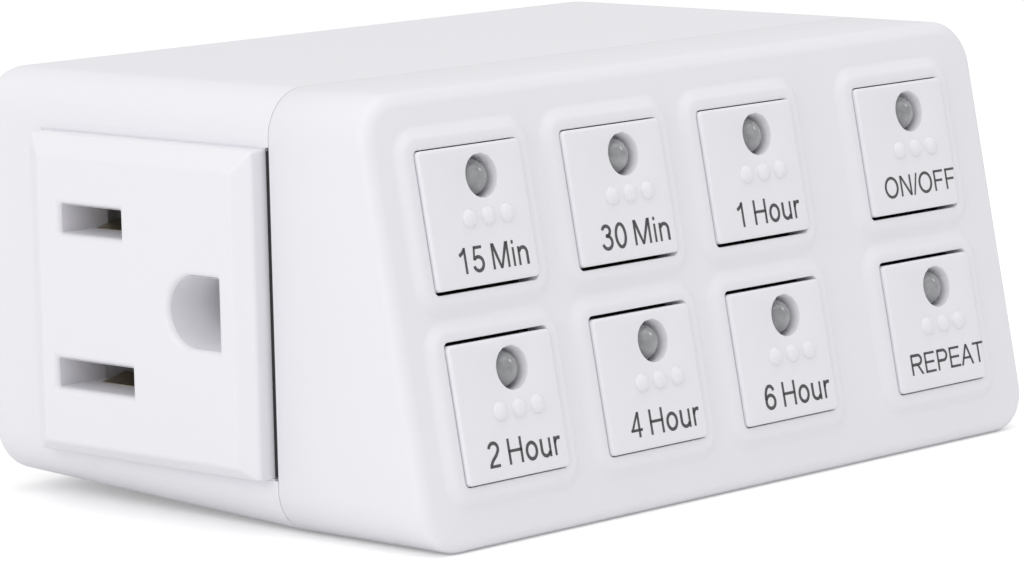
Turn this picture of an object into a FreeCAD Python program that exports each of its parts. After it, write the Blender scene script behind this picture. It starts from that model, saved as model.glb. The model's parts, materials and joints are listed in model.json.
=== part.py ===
# Plug-in timer switch: a wedge-fronted box with eight sprung keys, a socket on its left end and a plug behind.
# Frame, in millimetres: the origin is the middle of the flat wall face, +X runs along the key rows towards
# the end without the socket, +Y points into the wall along the plug blades, and +Z is up.
# Pieces of the leaning key face are drawn in a face frame: x along the rows, y up the slope and
# z out of the face, with its origin on the face plane at mid-height.
import FreeCAD, Part
import math
import os
import Sketcher
from FreeCAD import Placement, Rotation, Vector

os.makedirs("parts", exist_ok=True)
doc = FreeCAD.newDocument("timer_switch")

# Driving dimensions

SIZES = [
    ("body_length", 75.0, "case, along the key rows"),
    ("body_height", 35.4, "case, base to top"),
    ("wall", 2.0, "case wall"),
    ("corner_radius", 3.8, "case outline corners"),
    ("back_depth", 34.8, "wall face to the parting plane"),
    ("face_depth", 48.25, "wall face to the key face at mid-height"),
    ("face_lean", 10.7, "key face, degrees back from upright"),
    ("base_rise", 1.6, "rise of the back shell's base towards the wall"),
    ("back_edge_radius", 2.0, "edges of the wall face"),
    ("face_edge_radius", 1.0, "edges of the key face"),
    ("lip_height", 1.5, "locating lip, into the back shell"),
    ("lip_wall", 0.9, "locating lip thickness"),
    ("slip", 0.15, "clearance between fixed pieces that slot together"),
    ("key_width", 11.5, "key, along the row"),
    ("key_height", 11.0, "key, up the slope"),
    ("key_corner", 0.8, "key corners"),
    ("key_bevel", 0.3, "bevel round the key's face"),
    ("key_skin", 1.2, "key wall"),
    ("key_side_gap", 0.12, "key to case, sides and hinged end"),
    ("key_free_gap", 0.34, "key to case, pressed end"),
    ("key_proud", 0.35, "key face above its pad"),
    ("key_skirt", 2.4, "key side walls below the key face plane of the case"),
    ("column_pitch", 16.5, "key columns one to three"),
    ("last_column_pitch", 20.0, "third key column to the fourth"),
    ("first_column", -27.2, "first key column, from the middle"),
    ("row_pitch", 15.2, "key rows"),
    ("rows_rise", 0.2, "middle of the two rows above the middle of the face"),
    ("pad_margin", 2.0, "raised pad beyond the key"),
    ("pad_height", 0.55, "raised pad above the face"),
    ("pad_slope", 55.0, "pad edge, degrees off square"),
    ("pad_corner", 2.4, "pad corners"),
    ("light_shift", 0.9, "key light beside the key's middle"),
    ("light_drop", 2.4, "key light below the key's top edge"),
    ("light_hole_radius", 1.8, "hole in the key for its light"),
    ("light_radius", 1.5, "key light"),
    ("light_depth", 0.45, "tip of the key light below the key's face"),
    ("light_length", 4.6, "key light, base to tip"),
    ("light_rim", 0.25, "flange round the key light's base"),
    ("dot_pitch", 2.1, "raised dots"),
    ("dot_radius", 0.72, "raised dots"),
    ("dot_height", 0.3, "raised dots"),
    ("dot_drop", 5.5, "raised dots below the key's top edge"),
    ("hinge_reach", 0.62, "key's outer end to its hinge line"),
    ("hinge_depth", 2.85, "hinge line below the key face of the case"),
    ("arm_width", 2.2, "hinge arms"),
    ("arm_thickness", 0.7, "hinge arms"),
    ("arm_spacing", 7.0, "the two hinge arms of a key"),
    ("hinge_gap", 0.06, "hinge arm to its carrier bar"),
    ("carrier_width", 1.3, "carrier bar, up the slope"),
    ("carrier_thickness", 1.4, "carrier bar"),
    ("switch_side", 4.5, "push switch"),
    ("switch_height", 3.4, "push switch body"),
    ("switch_drop", 6.5, "push switch below the key's top edge"),
    ("button_radius", 1.2, "push switch button"),
    ("button_height", 0.9, "push switch button above its body"),
    ("button_slip", 0.08, "push switch button in its body"),
    ("touch_gap", 0.08, "key rib to switch button"),
    ("rib_side", 3.0, "key rib over the switch"),
    ("board_depth", 8.2, "key face of the case to the front of the control board"),
    ("board_thickness", 1.2, "control board"),
    ("board_length", 68.0, "control board"),
    ("board_height", 28.4, "control board"),
    ("board_rise", 1.6, "middle of the control board above the middle of the face"),
    ("outlet_side", 26.2, "socket plate outline"),
    ("outlet_reach", 2.67, "socket plate proud of the case end"),
    ("outlet_bevel", 1.2, "depth of the socket plate's bevel"),
    ("outlet_face_width", 22.7, "flat of the socket plate, front to back"),
    ("outlet_face_height", 23.4, "flat of the socket plate"),
    ("outlet_face_shift", 0.35, "flat of the plate off its outline, both ways"),
    ("outlet_corner", 0.8, "socket plate corners"),
    ("outlet_gap", 0.4, "socket plate to the front shell"),
    ("outlet_skin", 1.5, "socket plate thickness at its holes"),
    ("outlet_wall", 1.8, "socket plate side walls"),
    ("outlet_flange", 1.1, "socket plate flange behind the case wall"),
    ("flange_reach", 0.9, "socket plate flange past the outline"),
    ("slot_line", 16.4, "wall face to the line of the blade slots"),
    ("blade_spacing", 12.7, "blade centres"),
    ("ground_offset", 11.9, "line of blades to the ground pin"),
    ("line_slot", 7.3, "line slot length"),
    ("neutral_slot", 9.1, "neutral slot length"),
    ("slot_height", 2.4, "slot width"),
    ("slot_lead", 0.35, "lead-in round the socket holes"),
    ("ground_hole_radius", 2.9, "round side of the ground hole"),
    ("ground_hole_flat", 2.95, "ground hole centre to its flat"),
    ("carrier_depth", 14.6, "socket insulator"),
    ("carrier_back", 1.4, "socket insulator floor"),
    ("contact_thickness", 0.6, "socket contact strip"),
    ("contact_width", 6.2, "socket contact strip"),
    ("contact_length", 11.0, "socket contact leaves"),
    ("contact_pinch", 1.1, "gap between contact leaves"),
    ("contact_spread", 3.4, "contact leaves, outside"),
    ("sleeve_bore", 2.4, "ground sleeve inside radius"),
    ("sleeve_wall", 0.5, "ground sleeve wall"),
    ("sleeve_length", 9.0, "ground sleeve"),
    ("sleeve_slit", 1.2, "ground sleeve slit"),
    ("tail_length", 4.0, "contact tails behind the insulator"),
    ("tail_width", 2.4, "contact tails"),
    ("blade_thickness", 1.52, "plug blades"),
    ("line_blade_width", 6.35, "line blade"),
    ("neutral_blade_width", 7.9, "neutral blade"),
    ("blade_length", 18.0, "blades beyond the wall face"),
    ("blade_tip", 1.3, "chamfers at the blade tips"),
    ("blade_hole_radius", 1.6, "hole through each blade"),
    ("blade_hole_reach", 11.7, "blade hole from the wall face"),
    ("ground_pin_radius", 2.375, "ground pin"),
    ("ground_pin_length", 21.0, "ground pin beyond the wall face"),
    ("pin_step", 0.35, "ground pin thicker inside the case than outside"),
    ("pin_slip", 0.05, "pins in the case and holder"),
    ("holder_length", 24.0, "blade holder, along the rows"),
    ("holder_height", 22.0, "blade holder"),
    ("holder_thickness", 5.0, "blade holder"),
    ("shoulder", 0.8, "blade and pin shoulders behind the holder"),
    ("shoulder_length", 1.1, "thickness of those shoulders"),
    ("holder_ear", 2.0, "blade holder left over its screw posts"),
    ("power_board_gap", 2.4, "holder to the power board"),
    ("power_board_thickness", 1.6, "power board"),
    ("power_board_height", 27.0, "power board"),
    ("power_board_left", -14.6, "power board, socket end"),
    ("power_board_right", 34.9, "power board, other end"),
    ("tail_through", 1.6, "solder tails beyond the power board"),
    ("relay_length", 19.0, "relay"),
    ("relay_width", 15.2, "relay"),
    ("relay_height", 15.4, "relay"),
    ("part_gap", 0.3, "parts above their board"),
    ("film_length", 13.0, "suppression capacitor"),
    ("film_width", 6.0, "suppression capacitor"),
    ("film_height", 11.0, "suppression capacitor"),
    ("can_radius", 4.0, "storage capacitor"),
    ("can_height", 11.5, "storage capacitor"),
    ("fuse_radius", 2.6, "fuse"),
    ("fuse_length", 9.5, "fuse"),
    ("disc_radius", 4.5, "surge absorber"),
    ("disc_thickness", 3.4, "surge absorber"),
    ("bridge_length", 8.4, "rectifier"),
    ("bridge_width", 6.4, "rectifier"),
    ("bridge_height", 2.6, "rectifier"),
    ("chip_length", 10.4, "microcontroller"),
    ("chip_width", 7.4, "microcontroller"),
    ("chip_height", 2.2, "microcontroller"),
    ("lead_thickness", 0.5, "leads of small parts"),
    ("screw_left", -19.0, "case screws, socket side"),
    ("screw_right", 15.7, "case screws, other side"),
    ("screw_height", 10.6, "case screws above and below the middle"),
    ("screw_radius", 1.1, "case screw thread"),
    ("screw_head_radius", 1.9, "case screw head"),
    ("screw_head_height", 1.5, "case screw head"),
    ("screw_length", 11.0, "case screw under its head"),
    ("screw_seat", 4.5, "floor under each case screw's head"),
    ("head_slip", 0.2, "screw head in its well"),
    ("post_radius", 3.1, "screw posts of the back shell"),
    ("boss_radius", 2.2, "screw bosses of the front shell"),
    ("boss_slip", 0.35, "control board round the bosses"),
    ("small_screw_radius", 0.8, "board and holder screw thread"),
    ("small_head_radius", 1.5, "board and holder screw head"),
    ("small_head_height", 1.1, "board and holder screw head"),
    ("stand_radius", 1.7, "small screw posts"),
    ("thread_slip", 0.03, "screw thread in its hole"),
    ("wire_radius", 0.85, "insulated wire"),
    ("ribbon_width", 9.0, "ribbon cable"),
    ("ribbon_thickness", 0.8, "ribbon cable"),
]

sheet = doc.addObject("Spreadsheet::Sheet", "sizes")
for line, (alias, size, note) in enumerate(SIZES, start=1):
    sheet.set("A%d" % line, alias)
    sheet.set("B%d" % line, str(size))
    sheet.set("C%d" % line, note)
    sheet.setAlias("B%d" % line, alias)
doc.recompute()

PIECES = []


def size(text):
    """Expression text with each size name read from the sheet."""
    words = ""
    name = ""
    for letter in text + " ":
        if letter.isalnum() or letter == "_":
            name += letter
            continue
        words += "sizes." + name if name in SIZE_NAMES else name
        name = ""
        words += letter
    return words.strip()


SIZE_NAMES = {alias for alias, _, _ in SIZES}


def value(text):
    """Number that an expression over the sizes gives."""
    result = sheet.evalExpression(size(text))
    return float(getattr(result, "Value", result))


def bind(item, field, text):
    item.setExpression(field, size(text))


# Places on the leaning face, as expressions in the case's own axes

LEAN = "face_lean * 1 deg"


def face_point(across, up, out):
    """Case coordinates of a point of the face frame."""
    return (
        "(%s)" % across,
        "-face_depth + (%s) * sin(%s) - (%s) * cos(%s)" % (up, LEAN, out, LEAN),
        "(%s) * cos(%s) + (%s) * sin(%s)" % (up, LEAN, out, LEAN),
    )


def place(item, point, leaning=False):
    """Placement bound to three expressions, turned into the face frame when leaning."""
    turn = 90 - value("face_lean") if leaning else 0
    item.Placement = Placement(Vector(*[value(text) for text in point]), Rotation(Vector(1, 0, 0), turn))
    for axis, text in zip("xyz", point):
        bind(item, "Placement.Base." + axis, text)
    if leaning:
        bind(item, "Placement.Rotation.Angle", "90 deg - face_lean * 1 deg")


class Piece:
    """One PartDesign body and the features that build it."""

    def __init__(self, label, point=("0", "0", "0"), leaning=False):
        self.body = doc.addObject("PartDesign::Body", label)
        self.body.Label = label
        self.label = label
        place(self.body, point, leaning)
        PIECES.append(self.body)

    def plane(self, role):
        for item in self.body.Origin.OriginFeatures:
            if item.Role == role:
                return item

    def sketch(self, role, height="0", leaning=False):
        """Sketch on an origin plane, lifted along the plane's normal and, for the key face, tilted back."""
        item = self.body.newObject("Sketcher::SketchObject", self.label + "_sketch")
        item.AttachmentSupport = [(self.plane(role), "")]
        item.MapMode = "FlatFace"
        turn = Rotation(Vector(-1, 0, 0), value("face_lean")) if leaning else Rotation()
        item.AttachmentOffset = Placement(Vector(0, 0, value(height)), turn)
        bind(item, "AttachmentOffset.Base.z", height)
        if leaning:
            bind(item, "AttachmentOffset.Rotation.Angle", "face_lean * 1 deg")
        return item

    def feature(self, kind, profile, **fields):
        item = self.body.newObject("PartDesign::" + kind, self.label + "_" + kind.lower())
        item.Profile = profile
        profile.Visibility = False
        for field, text in fields.items():
            if isinstance(text, str) and field in ("Length", "TaperAngle"):
                bind(item, field, text)
            else:
                setattr(item, field, text)
        doc.recompute()
        return item

    def pad(self, profile, length, **fields):
        return self.feature("Pad", profile, Length=length, **fields)

    def pocket(self, profile, length, **fields):
        """Cut along the reverse of the sketch's normal, or along it when Reversed; it has to remove material."""
        before = self.body.Shape.Volume
        item = self.feature("Pocket", profile, Length=length, **fields)
        if item.Shape.Volume >= before:
            raise ValueError("pocket removed nothing from " + self.label)
        return item

    def loft(self, first, *others):
        item = self.body.newObject("PartDesign::AdditiveLoft", self.label + "_loft")
        item.Profile = first
        item.Sections = list(others)
        item.Ruled = True
        doc.recompute()
        return item

    def revolve(self, profile, axis="V_Axis"):
        item = self.body.newObject("PartDesign::Revolution", self.label + "_turned")
        item.Profile = profile
        item.ReferenceAxis = (profile, [axis])
        item.Angle = 360
        doc.recompute()
        return item

    def edges(self, test):
        """Names of the edges of the present shape whose middle point and edge pass a test."""
        names = []
        for number, edge in enumerate(self.body.Shape.Edges, start=1):
            middle = edge.valueAt((edge.FirstParameter + edge.LastParameter) / 2)
            if test(self.body.Placement.inverse().multVec(middle), edge):
                names.append("Edge%d" % number)
        return names

    def blend(self, kind, names, radius):
        """Fillet or chamfer on named edges."""
        field = "Radius" if kind == "Fillet" else "Size"
        before = self.body.Tip
        item = self.body.newObject("PartDesign::" + kind, self.label + "_" + kind.lower())
        item.Base = (before, names)
        bind(item, field, radius)
        doc.recompute()
        return item


# Outlines inside a sketch, each number an expression over the sizes

def constrain(sketch, kind, values, text, name):
    index = sketch.addConstraint(Sketcher.Constraint(kind, *values, value(text)))
    sketch.renameConstraint(index, name)
    bind(sketch, "Constraints." + name, text)


def rounded_box(sketch, left, low, wide, high, radius):
    """Rectangle with round corners from its lower left corner."""
    first = sketch.GeometryCount
    x, y, w, h, r = [value(text) for text in (left, low, wide, high, radius)]
    right, top = x + w, y + h
    sides = [((x + r, y), (right - r, y)), ((right, y + r), (right, top - r)),
             ((right - r, top), (x + r, top)), ((x, top - r), (x, y + r))]
    centres = [(right - r, y + r), (right - r, top - r), (x + r, top - r), (x + r, y + r)]
    shapes = [Part.LineSegment(Vector(*a, 0), Vector(*b, 0)) for a, b in sides]
    for turn, centre in enumerate(centres):
        start = (turn - 1) * math.pi / 2
        circle = Part.Circle(Vector(*centre, 0), Vector(0, 0, 1), r)
        shapes.append(Part.ArcOfCircle(circle, start, start + math.pi / 2))
    sketch.addGeometry(shapes, False)
    rules = []
    for side in range(4):
        arc = first + 4 + side
        rules.append(Sketcher.Constraint("Tangent", first + side, 2, arc, 1))
        rules.append(Sketcher.Constraint("Tangent", arc, 2, first + (side + 1) % 4, 1))
        rules.append(Sketcher.Constraint("Vertical" if side % 2 else "Horizontal", first + side))
        if side:
            rules.append(Sketcher.Constraint("Equal", first + 4, arc))
    sketch.addConstraint(rules)
    tag = "box%d_" % first
    constrain(sketch, "Radius", (first + 4,), radius, tag + "radius")
    constrain(sketch, "DistanceX", (-1, 1, first + 3, 1), left, tag + "left")
    constrain(sketch, "DistanceX", (first + 3, 1, first + 1, 1), wide, tag + "wide")
    constrain(sketch, "DistanceY", (-1, 1, first, 1), low, tag + "low")
    constrain(sketch, "DistanceY", (first, 1, first + 2, 1), high, tag + "high")


def centred_box(sketch, across, up, wide, high, radius):
    rounded_box(sketch, "(%s) - (%s) / 2" % (across, wide), "(%s) - (%s) / 2" % (up, high), wide, high, radius)


def polygon(sketch, corners):
    """Closed outline through corners given as pairs of expressions."""
    first = sketch.GeometryCount
    places = [Vector(value(x), value(y), 0) for x, y in corners]
    count = len(places)
    sketch.addGeometry([Part.LineSegment(places[i], places[(i + 1) % count]) for i in range(count)], False)
    sketch.addConstraint([Sketcher.Constraint("Coincident", first + i, 2, first + (i + 1) % count, 1)
                          for i in range(count)])
    for i, (x, y) in enumerate(corners):
        constrain(sketch, "DistanceX", (-1, 1, first + i, 1), x, "x%d" % (first + i))
        constrain(sketch, "DistanceY", (-1, 1, first + i, 1), y, "y%d" % (first + i))


def plain_box(sketch, across, up, wide, high):
    """Rectangle with square corners about its middle."""
    left, right = "(%s) - (%s) / 2" % (across, wide), "(%s) + (%s) / 2" % (across, wide)
    low, high = "(%s) - (%s) / 2" % (up, high), "(%s) + (%s) / 2" % (up, high)
    polygon(sketch, box_corners(left, low, right, high))


def box_corners(left, low, right, high):
    return [(left, low), (right, low), (right, high), (left, high)]


def circle(sketch, across, up, radius):
    first = sketch.GeometryCount
    centre = Vector(value(across), value(up), 0)
    sketch.addGeometry(Part.Circle(centre, Vector(0, 0, 1), value(radius)), False)
    constrain(sketch, "Radius", (first,), radius, "radius%d" % first)
    constrain(sketch, "DistanceX", (-1, 1, first, 3), across, "across%d" % first)
    constrain(sketch, "DistanceY", (-1, 1, first, 3), up, "up%d" % first)


# Key grid, in the face frame

COLUMNS = [
    "first_column",
    "first_column + column_pitch",
    "first_column + 2 * column_pitch",
    "first_column + 2 * column_pitch + last_column_pitch",
]
UPPER_ROW = "rows_rise + row_pitch / 2"
LOWER_ROW = "rows_rise - row_pitch / 2"
KEYS = [
    ("15_min", COLUMNS[0], True), ("30_min", COLUMNS[1], True), ("1_hour", COLUMNS[2], True),
    ("on_off", COLUMNS[3], True), ("2_hour", COLUMNS[0], False), ("4_hour", COLUMNS[1], False),
    ("6_hour", COLUMNS[2], False), ("repeat", COLUMNS[3], False),
]


def row_middle(upper):
    return UPPER_ROW if upper else LOWER_ROW


BOARD_SCREWS = [("screw_left", "rows_rise"), ("screw_right", "rows_rise")]
SCREWS = [(x, z) for x in ("screw_left", "screw_right") for z in ("screw_height", "-screw_height")]
END = "body_length / 2"
TOP = "body_height / 2"


# Front shell: wedge-fronted cover with eight raised pads and key openings

def opening_outline(sketch, column, upper):
    """Key opening: close at the sides and the hinged end, wider at the pressed end."""
    low_gap, high = ("key_free_gap", "key_side_gap") if upper else ("key_side_gap", "key_free_gap")
    rounded_box(
        sketch,
        "%s - key_width / 2 - key_side_gap" % column,
        "%s - key_height / 2 - %s" % (row_middle(upper), low_gap),
        "key_width + 2 * key_side_gap",
        "key_height + %s + %s" % (low_gap, high),
        "key_corner + key_side_gap",
    )


def front_shell():
    piece = Piece("front_shell")
    outline = piece.sketch("XZ_Plane", "back_depth")
    centred_box(outline, "0", "0", "body_length", "body_height", "corner_radius")
    reach = "face_depth - back_depth + body_height / 2 * tan(%s) + wall" % LEAN
    piece.pad(outline, reach)
    slope = piece.sketch("XZ_Plane", "face_depth", leaning=True)
    polygon(slope, box_corners("-body_length", "-body_height", "body_length", "body_height"))
    piece.pocket(slope, "body_height", Reversed=True)

    room = piece.sketch("YZ_Plane")
    inside = "(%s - wall)" % TOP
    floor = "wall / cos(%s) - face_depth" % LEAN
    polygon(room, [("-back_depth", "-" + inside), ("%s - %s * tan(%s)" % (floor, inside, LEAN), "-" + inside),
                   ("%s + %s * tan(%s)" % (floor, inside, LEAN), inside), ("-back_depth", inside)])
    piece.pocket(room, "body_length - 2 * wall", Midplane=True)

    lean = math.radians(value("face_lean"))
    out = Vector(0, -math.cos(lean), math.sin(lean))
    origin = Vector(0, -value("face_depth"), 0)
    rim = piece.edges(lambda middle, edge: abs((middle - origin).dot(out)) < 0.01)
    piece.blend("Fillet", rim, "face_edge_radius")

    root = piece.sketch("XZ_Plane", "back_depth")
    plain_box(root, "0", "0", "body_length - 1.9 * wall", "body_height - 1.9 * wall")
    plain_box(root, "0", "0", "body_length - 2 * wall - 2 * slip - 2 * lip_wall",
              "body_height - 2 * wall - 2 * slip - 2 * lip_wall")
    piece.pad(root, "lip_height")
    lip = piece.sketch("XZ_Plane", "back_depth")
    plain_box(lip, "0", "0", "body_length - 2 * wall - 2 * slip", "body_height - 2 * wall - 2 * slip")
    plain_box(lip, "0", "0", "body_length - 2 * wall - 2 * slip - 2 * lip_wall",
              "body_height - 2 * wall - 2 * slip - 2 * lip_wall")
    piece.pad(lip, "lip_height", Reversed=True)
    relief = piece.sketch("XZ_Plane", "back_depth - lip_height")
    polygon(relief, box_corners("-%s - wall" % END, "-outlet_side / 2 - flange_reach - 2 * slip",
                                "-%s + wall + outlet_flange + lip_wall + 1" % END,
                                "outlet_side / 2 + flange_reach + 2 * slip"))
    piece.pocket(relief, "lip_height", Reversed=True)
    seat = piece.sketch("XZ_Plane", "back_depth")
    polygon(seat, box_corners("-%s + wall" % END, "-outlet_side / 2 - flange_reach - slip",
                              "-%s + wall + outlet_flange + lip_wall + 1" % END,
                              "outlet_side / 2 + flange_reach + slip"))
    piece.pocket(seat, "lip_height + slip", Reversed=True)

    raised = piece.sketch("XZ_Plane", "face_depth", leaning=True)
    for name, column, upper in KEYS:
        centred_box(raised, column, row_middle(upper), "key_width + 2 * pad_margin",
                    "key_height + 2 * pad_margin", "pad_corner")
    piece.pad(raised, "pad_height", TaperAngle="-pad_slope * 1 deg")
    holes = piece.sketch("XZ_Plane", "face_depth", leaning=True)
    for name, column, upper in KEYS:
        opening_outline(holes, column, upper)
    piece.pocket(holes, "4 * wall", Midplane=True)

    for height in ("screw_height", "-screw_height"):
        boss = piece.sketch("XZ_Plane", "back_depth")
        for across, up in SCREWS:
            if up == height:
                circle(boss, across, up, "boss_radius")
        piece.pad(boss, "face_depth - back_depth - wall / 2 - (%s) * tan(%s)" % (height, LEAN))
    pilot = piece.sketch("XZ_Plane", "back_depth")
    for across, up in SCREWS:
        circle(pilot, across, up, "screw_radius + thread_slip")
    piece.pocket(pilot, "screw_length - screw_seat + wall / 2", Reversed=True)

    stands = piece.sketch("XZ_Plane", "face_depth - wall / 2 / cos(%s)" % LEAN, leaning=True)
    for across, up in BOARD_SCREWS:
        circle(stands, across, "%s - wall / 2 * tan(%s)" % (up, LEAN), "stand_radius")
    piece.pad(stands, "board_depth - wall / 2 - slip / 3", Reversed=True)
    pilots = piece.sketch("XZ_Plane", "face_depth - board_depth / cos(%s)" % LEAN, leaning=True)
    for across, up in BOARD_SCREWS:
        circle(pilots, across, "%s - board_depth * tan(%s)" % (up, LEAN), "small_screw_radius + thread_slip")
    piece.pocket(pilots, "board_depth - wall", Reversed=True)
    return piece


# Back shell: drafted tray with the socket notch, plug holes and screw posts

OUTLET_FRONT = "(back_depth - outlet_gap)"
OUTLET_MIDDLE = "(back_depth - outlet_gap - outlet_side / 2)"
PLUG_LINE = "ground_offset / 2"


def back_shell():
    piece = Piece("back_shell")
    side = piece.sketch("YZ_Plane")
    polygon(side, [("-back_depth", "-%s" % TOP), ("0", "-%s + base_rise" % TOP), ("0", TOP), ("-back_depth", TOP)])
    piece.pad(side, "body_length", Midplane=True)
    long_edges = piece.edges(lambda middle, edge: edge.Length < value("back_depth") + 1
                             and abs(middle.y + value("back_depth") / 2) < 0.01)
    piece.blend("Fillet", long_edges, "corner_radius")
    rim = piece.edges(lambda middle, edge: abs(middle.y) < 0.01)
    piece.blend("Fillet", rim, "back_edge_radius")
    room = piece.sketch("YZ_Plane")
    polygon(room, [("-back_depth", "-%s + wall" % TOP), ("-wall", "-%s + base_rise + wall" % TOP),
                   ("-wall", "%s - wall" % TOP), ("-back_depth", "%s - wall" % TOP)])
    piece.pocket(room, "body_length - 2 * wall", Midplane=True)

    posts = piece.sketch("XZ_Plane", "wall / 2")
    for across, up in SCREWS:
        circle(posts, across, up, "post_radius")
    piece.pad(posts, "back_depth - wall / 2")
    wells = piece.sketch("XZ_Plane", "0")
    for across, up in SCREWS:
        circle(wells, across, up, "screw_head_radius + head_slip")
    piece.pocket(wells, "back_depth - screw_seat", Reversed=True)
    holes = piece.sketch("XZ_Plane", "back_depth - screw_seat")
    for across, up in SCREWS:
        circle(holes, across, up, "screw_radius + head_slip")
    piece.pocket(holes, "screw_seat", Reversed=True)

    stands = piece.sketch("XZ_Plane", "wall / 2")
    for across, up in HOLDER_SCREWS:
        circle(stands, across, up, "stand_radius")
    piece.pad(stands, "wall / 2 + holder_thickness - holder_ear")
    pilots = piece.sketch("XZ_Plane", "wall / 2")
    for across, up in HOLDER_SCREWS:
        circle(pilots, across, up, "small_screw_radius + thread_slip")
    piece.pocket(pilots, "holder_thickness + wall", Reversed=True)

    notch = piece.sketch("YZ_Plane", "-%s - wall" % END)
    reach = "(outlet_side / 2 + slip)"
    polygon(notch, box_corners("-back_depth - wall", "-%s" % reach, "-%s + %s" % (OUTLET_MIDDLE, reach), reach))
    piece.pocket(notch, "3 * wall", Reversed=True)
    plug_holes(piece, "wall", "pin_slip")
    return piece


def blade_outline(sketch, across, width, margin):
    plain_box(sketch, across, PLUG_LINE, "blade_thickness + 2 * %s" % margin, "%s + 2 * %s" % (width, margin))


def plug_holes(piece, depth, margin):
    """Two blade slots and the ground pin's hole, cut from the wall face side."""
    holes = piece.sketch("XZ_Plane", "-wall")
    blade_outline(holes, "blade_spacing / 2", "line_blade_width", margin)
    blade_outline(holes, "-blade_spacing / 2", "neutral_blade_width", margin)
    circle(holes, "0", "%s - ground_offset" % PLUG_LINE, "ground_pin_radius + pin_step + %s" % margin)
    piece.pocket(holes, "wall + %s + wall" % depth, Reversed=True)


# Plug: holder, two blades and the ground pin

HOLDER_SCREWS = [("holder_length / 2 - stand_radius", "-holder_height / 2 + stand_radius"),
                 ("-holder_length / 2 + stand_radius", "-holder_height / 2 + stand_radius")]
HOLDER_BACK = "(wall + slip)"
HOLDER_FRONT = "(wall + slip + holder_thickness)"
POWER_BACK = "(wall + slip + holder_thickness + power_board_gap)"
POWER_FRONT = "(wall + slip + holder_thickness + power_board_gap + power_board_thickness)"


def blade_holder():
    piece = Piece("blade_holder")
    block = piece.sketch("XZ_Plane", HOLDER_BACK)
    centred_box(block, "0", "0", "holder_length", "holder_height", "stand_radius")
    piece.pad(block, "holder_thickness")
    ears = piece.sketch("XZ_Plane", HOLDER_BACK)
    for across, up in HOLDER_SCREWS:
        circle(ears, across, up, "stand_radius + slip")
    piece.pocket(ears, "holder_thickness - holder_ear", Reversed=True)
    screws = piece.sketch("XZ_Plane", HOLDER_FRONT)
    for across, up in HOLDER_SCREWS:
        circle(screws, across, up, "small_screw_radius + slip")
    piece.pocket(screws, "holder_thickness")
    plug_holes(piece, "holder_thickness + wall", "pin_slip")
    return piece


def blade(label, across, width):
    """Flat blade with a chamfered tip, a hole, a shoulder behind the holder and a solder tail."""
    piece = Piece(label)
    side = piece.sketch("YZ_Plane", across)
    low = "%s - %s / 2" % (PLUG_LINE, width)
    high = "%s + %s / 2" % (PLUG_LINE, width)
    back = "-%s - slip" % HOLDER_FRONT
    polygon(side, [
        (back, low),
        ("blade_length - blade_tip", low),
        ("blade_length", "%s + blade_tip" % low),
        ("blade_length", "%s - blade_tip" % high),
        ("blade_length - blade_tip", high),
        (back, high),
        (back, "%s + shoulder" % high),
        ("%s - shoulder_length" % back, "%s + shoulder" % high),
        ("%s - shoulder_length" % back, "%s + tail_width / 2" % PLUG_LINE),
        ("-%s - tail_through" % POWER_FRONT, "%s + tail_width / 2" % PLUG_LINE),
        ("-%s - tail_through" % POWER_FRONT, "%s - tail_width / 2" % PLUG_LINE),
        ("%s - shoulder_length" % back, "%s - tail_width / 2" % PLUG_LINE),
        ("%s - shoulder_length" % back, "%s - shoulder" % low),
        (back, "%s - shoulder" % low),
    ])
    piece.pad(side, "blade_thickness", Midplane=True)
    hole = piece.sketch("YZ_Plane", "%s + blade_thickness" % across)
    circle(hole, "blade_hole_reach", PLUG_LINE, "blade_hole_radius")
    piece.pocket(hole, "2 * blade_thickness")
    tip = piece.edges(lambda middle, edge: middle.y > value("blade_length") - 0.01)
    piece.blend("Chamfer", tip, "blade_thickness / 4")
    return piece


def ground_pin():
    """Round pin with a domed nose, turned about its own axis."""
    piece = Piece("ground_pin", ("0", "0", "%s - ground_offset" % PLUG_LINE))
    side = piece.sketch("XY_Plane")
    nose = "ground_pin_radius * 0.72"
    back = "-%s - slip" % HOLDER_FRONT
    polygon(side, [
        ("0", "-%s - tail_through" % POWER_FRONT),
        ("tail_width / 2", "-%s - tail_through" % POWER_FRONT),
        ("tail_width / 2", "%s - shoulder_length" % back),
        ("ground_pin_radius + shoulder", "%s - shoulder_length" % back),
        ("ground_pin_radius + shoulder", back),
        ("ground_pin_radius + pin_step", back),
        ("ground_pin_radius + pin_step", "0"),
        ("ground_pin_radius", "0"),
        ("ground_pin_radius", "ground_pin_length - %s" % nose),
        ("ground_pin_radius * 0.92", "ground_pin_length - %s * 0.6" % nose),
        ("ground_pin_radius * 0.7", "ground_pin_length - %s * 0.27" % nose),
        ("ground_pin_radius * 0.38", "ground_pin_length - %s * 0.06" % nose),
        ("0", "ground_pin_length"),
    ])
    piece.revolve(side)
    return piece


# Socket: bevelled plate, insulator and three contacts

OUTLET_OUT = "(%s + outlet_reach)" % END
OUTLET_IN = "(%s - wall - slip - outlet_flange)" % END
GROUND_LINE = "(slot_line + ground_offset)"
SLOT_ROWS = [("blade_spacing / 2", "line_slot"), ("-blade_spacing / 2", "neutral_slot")]


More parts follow.
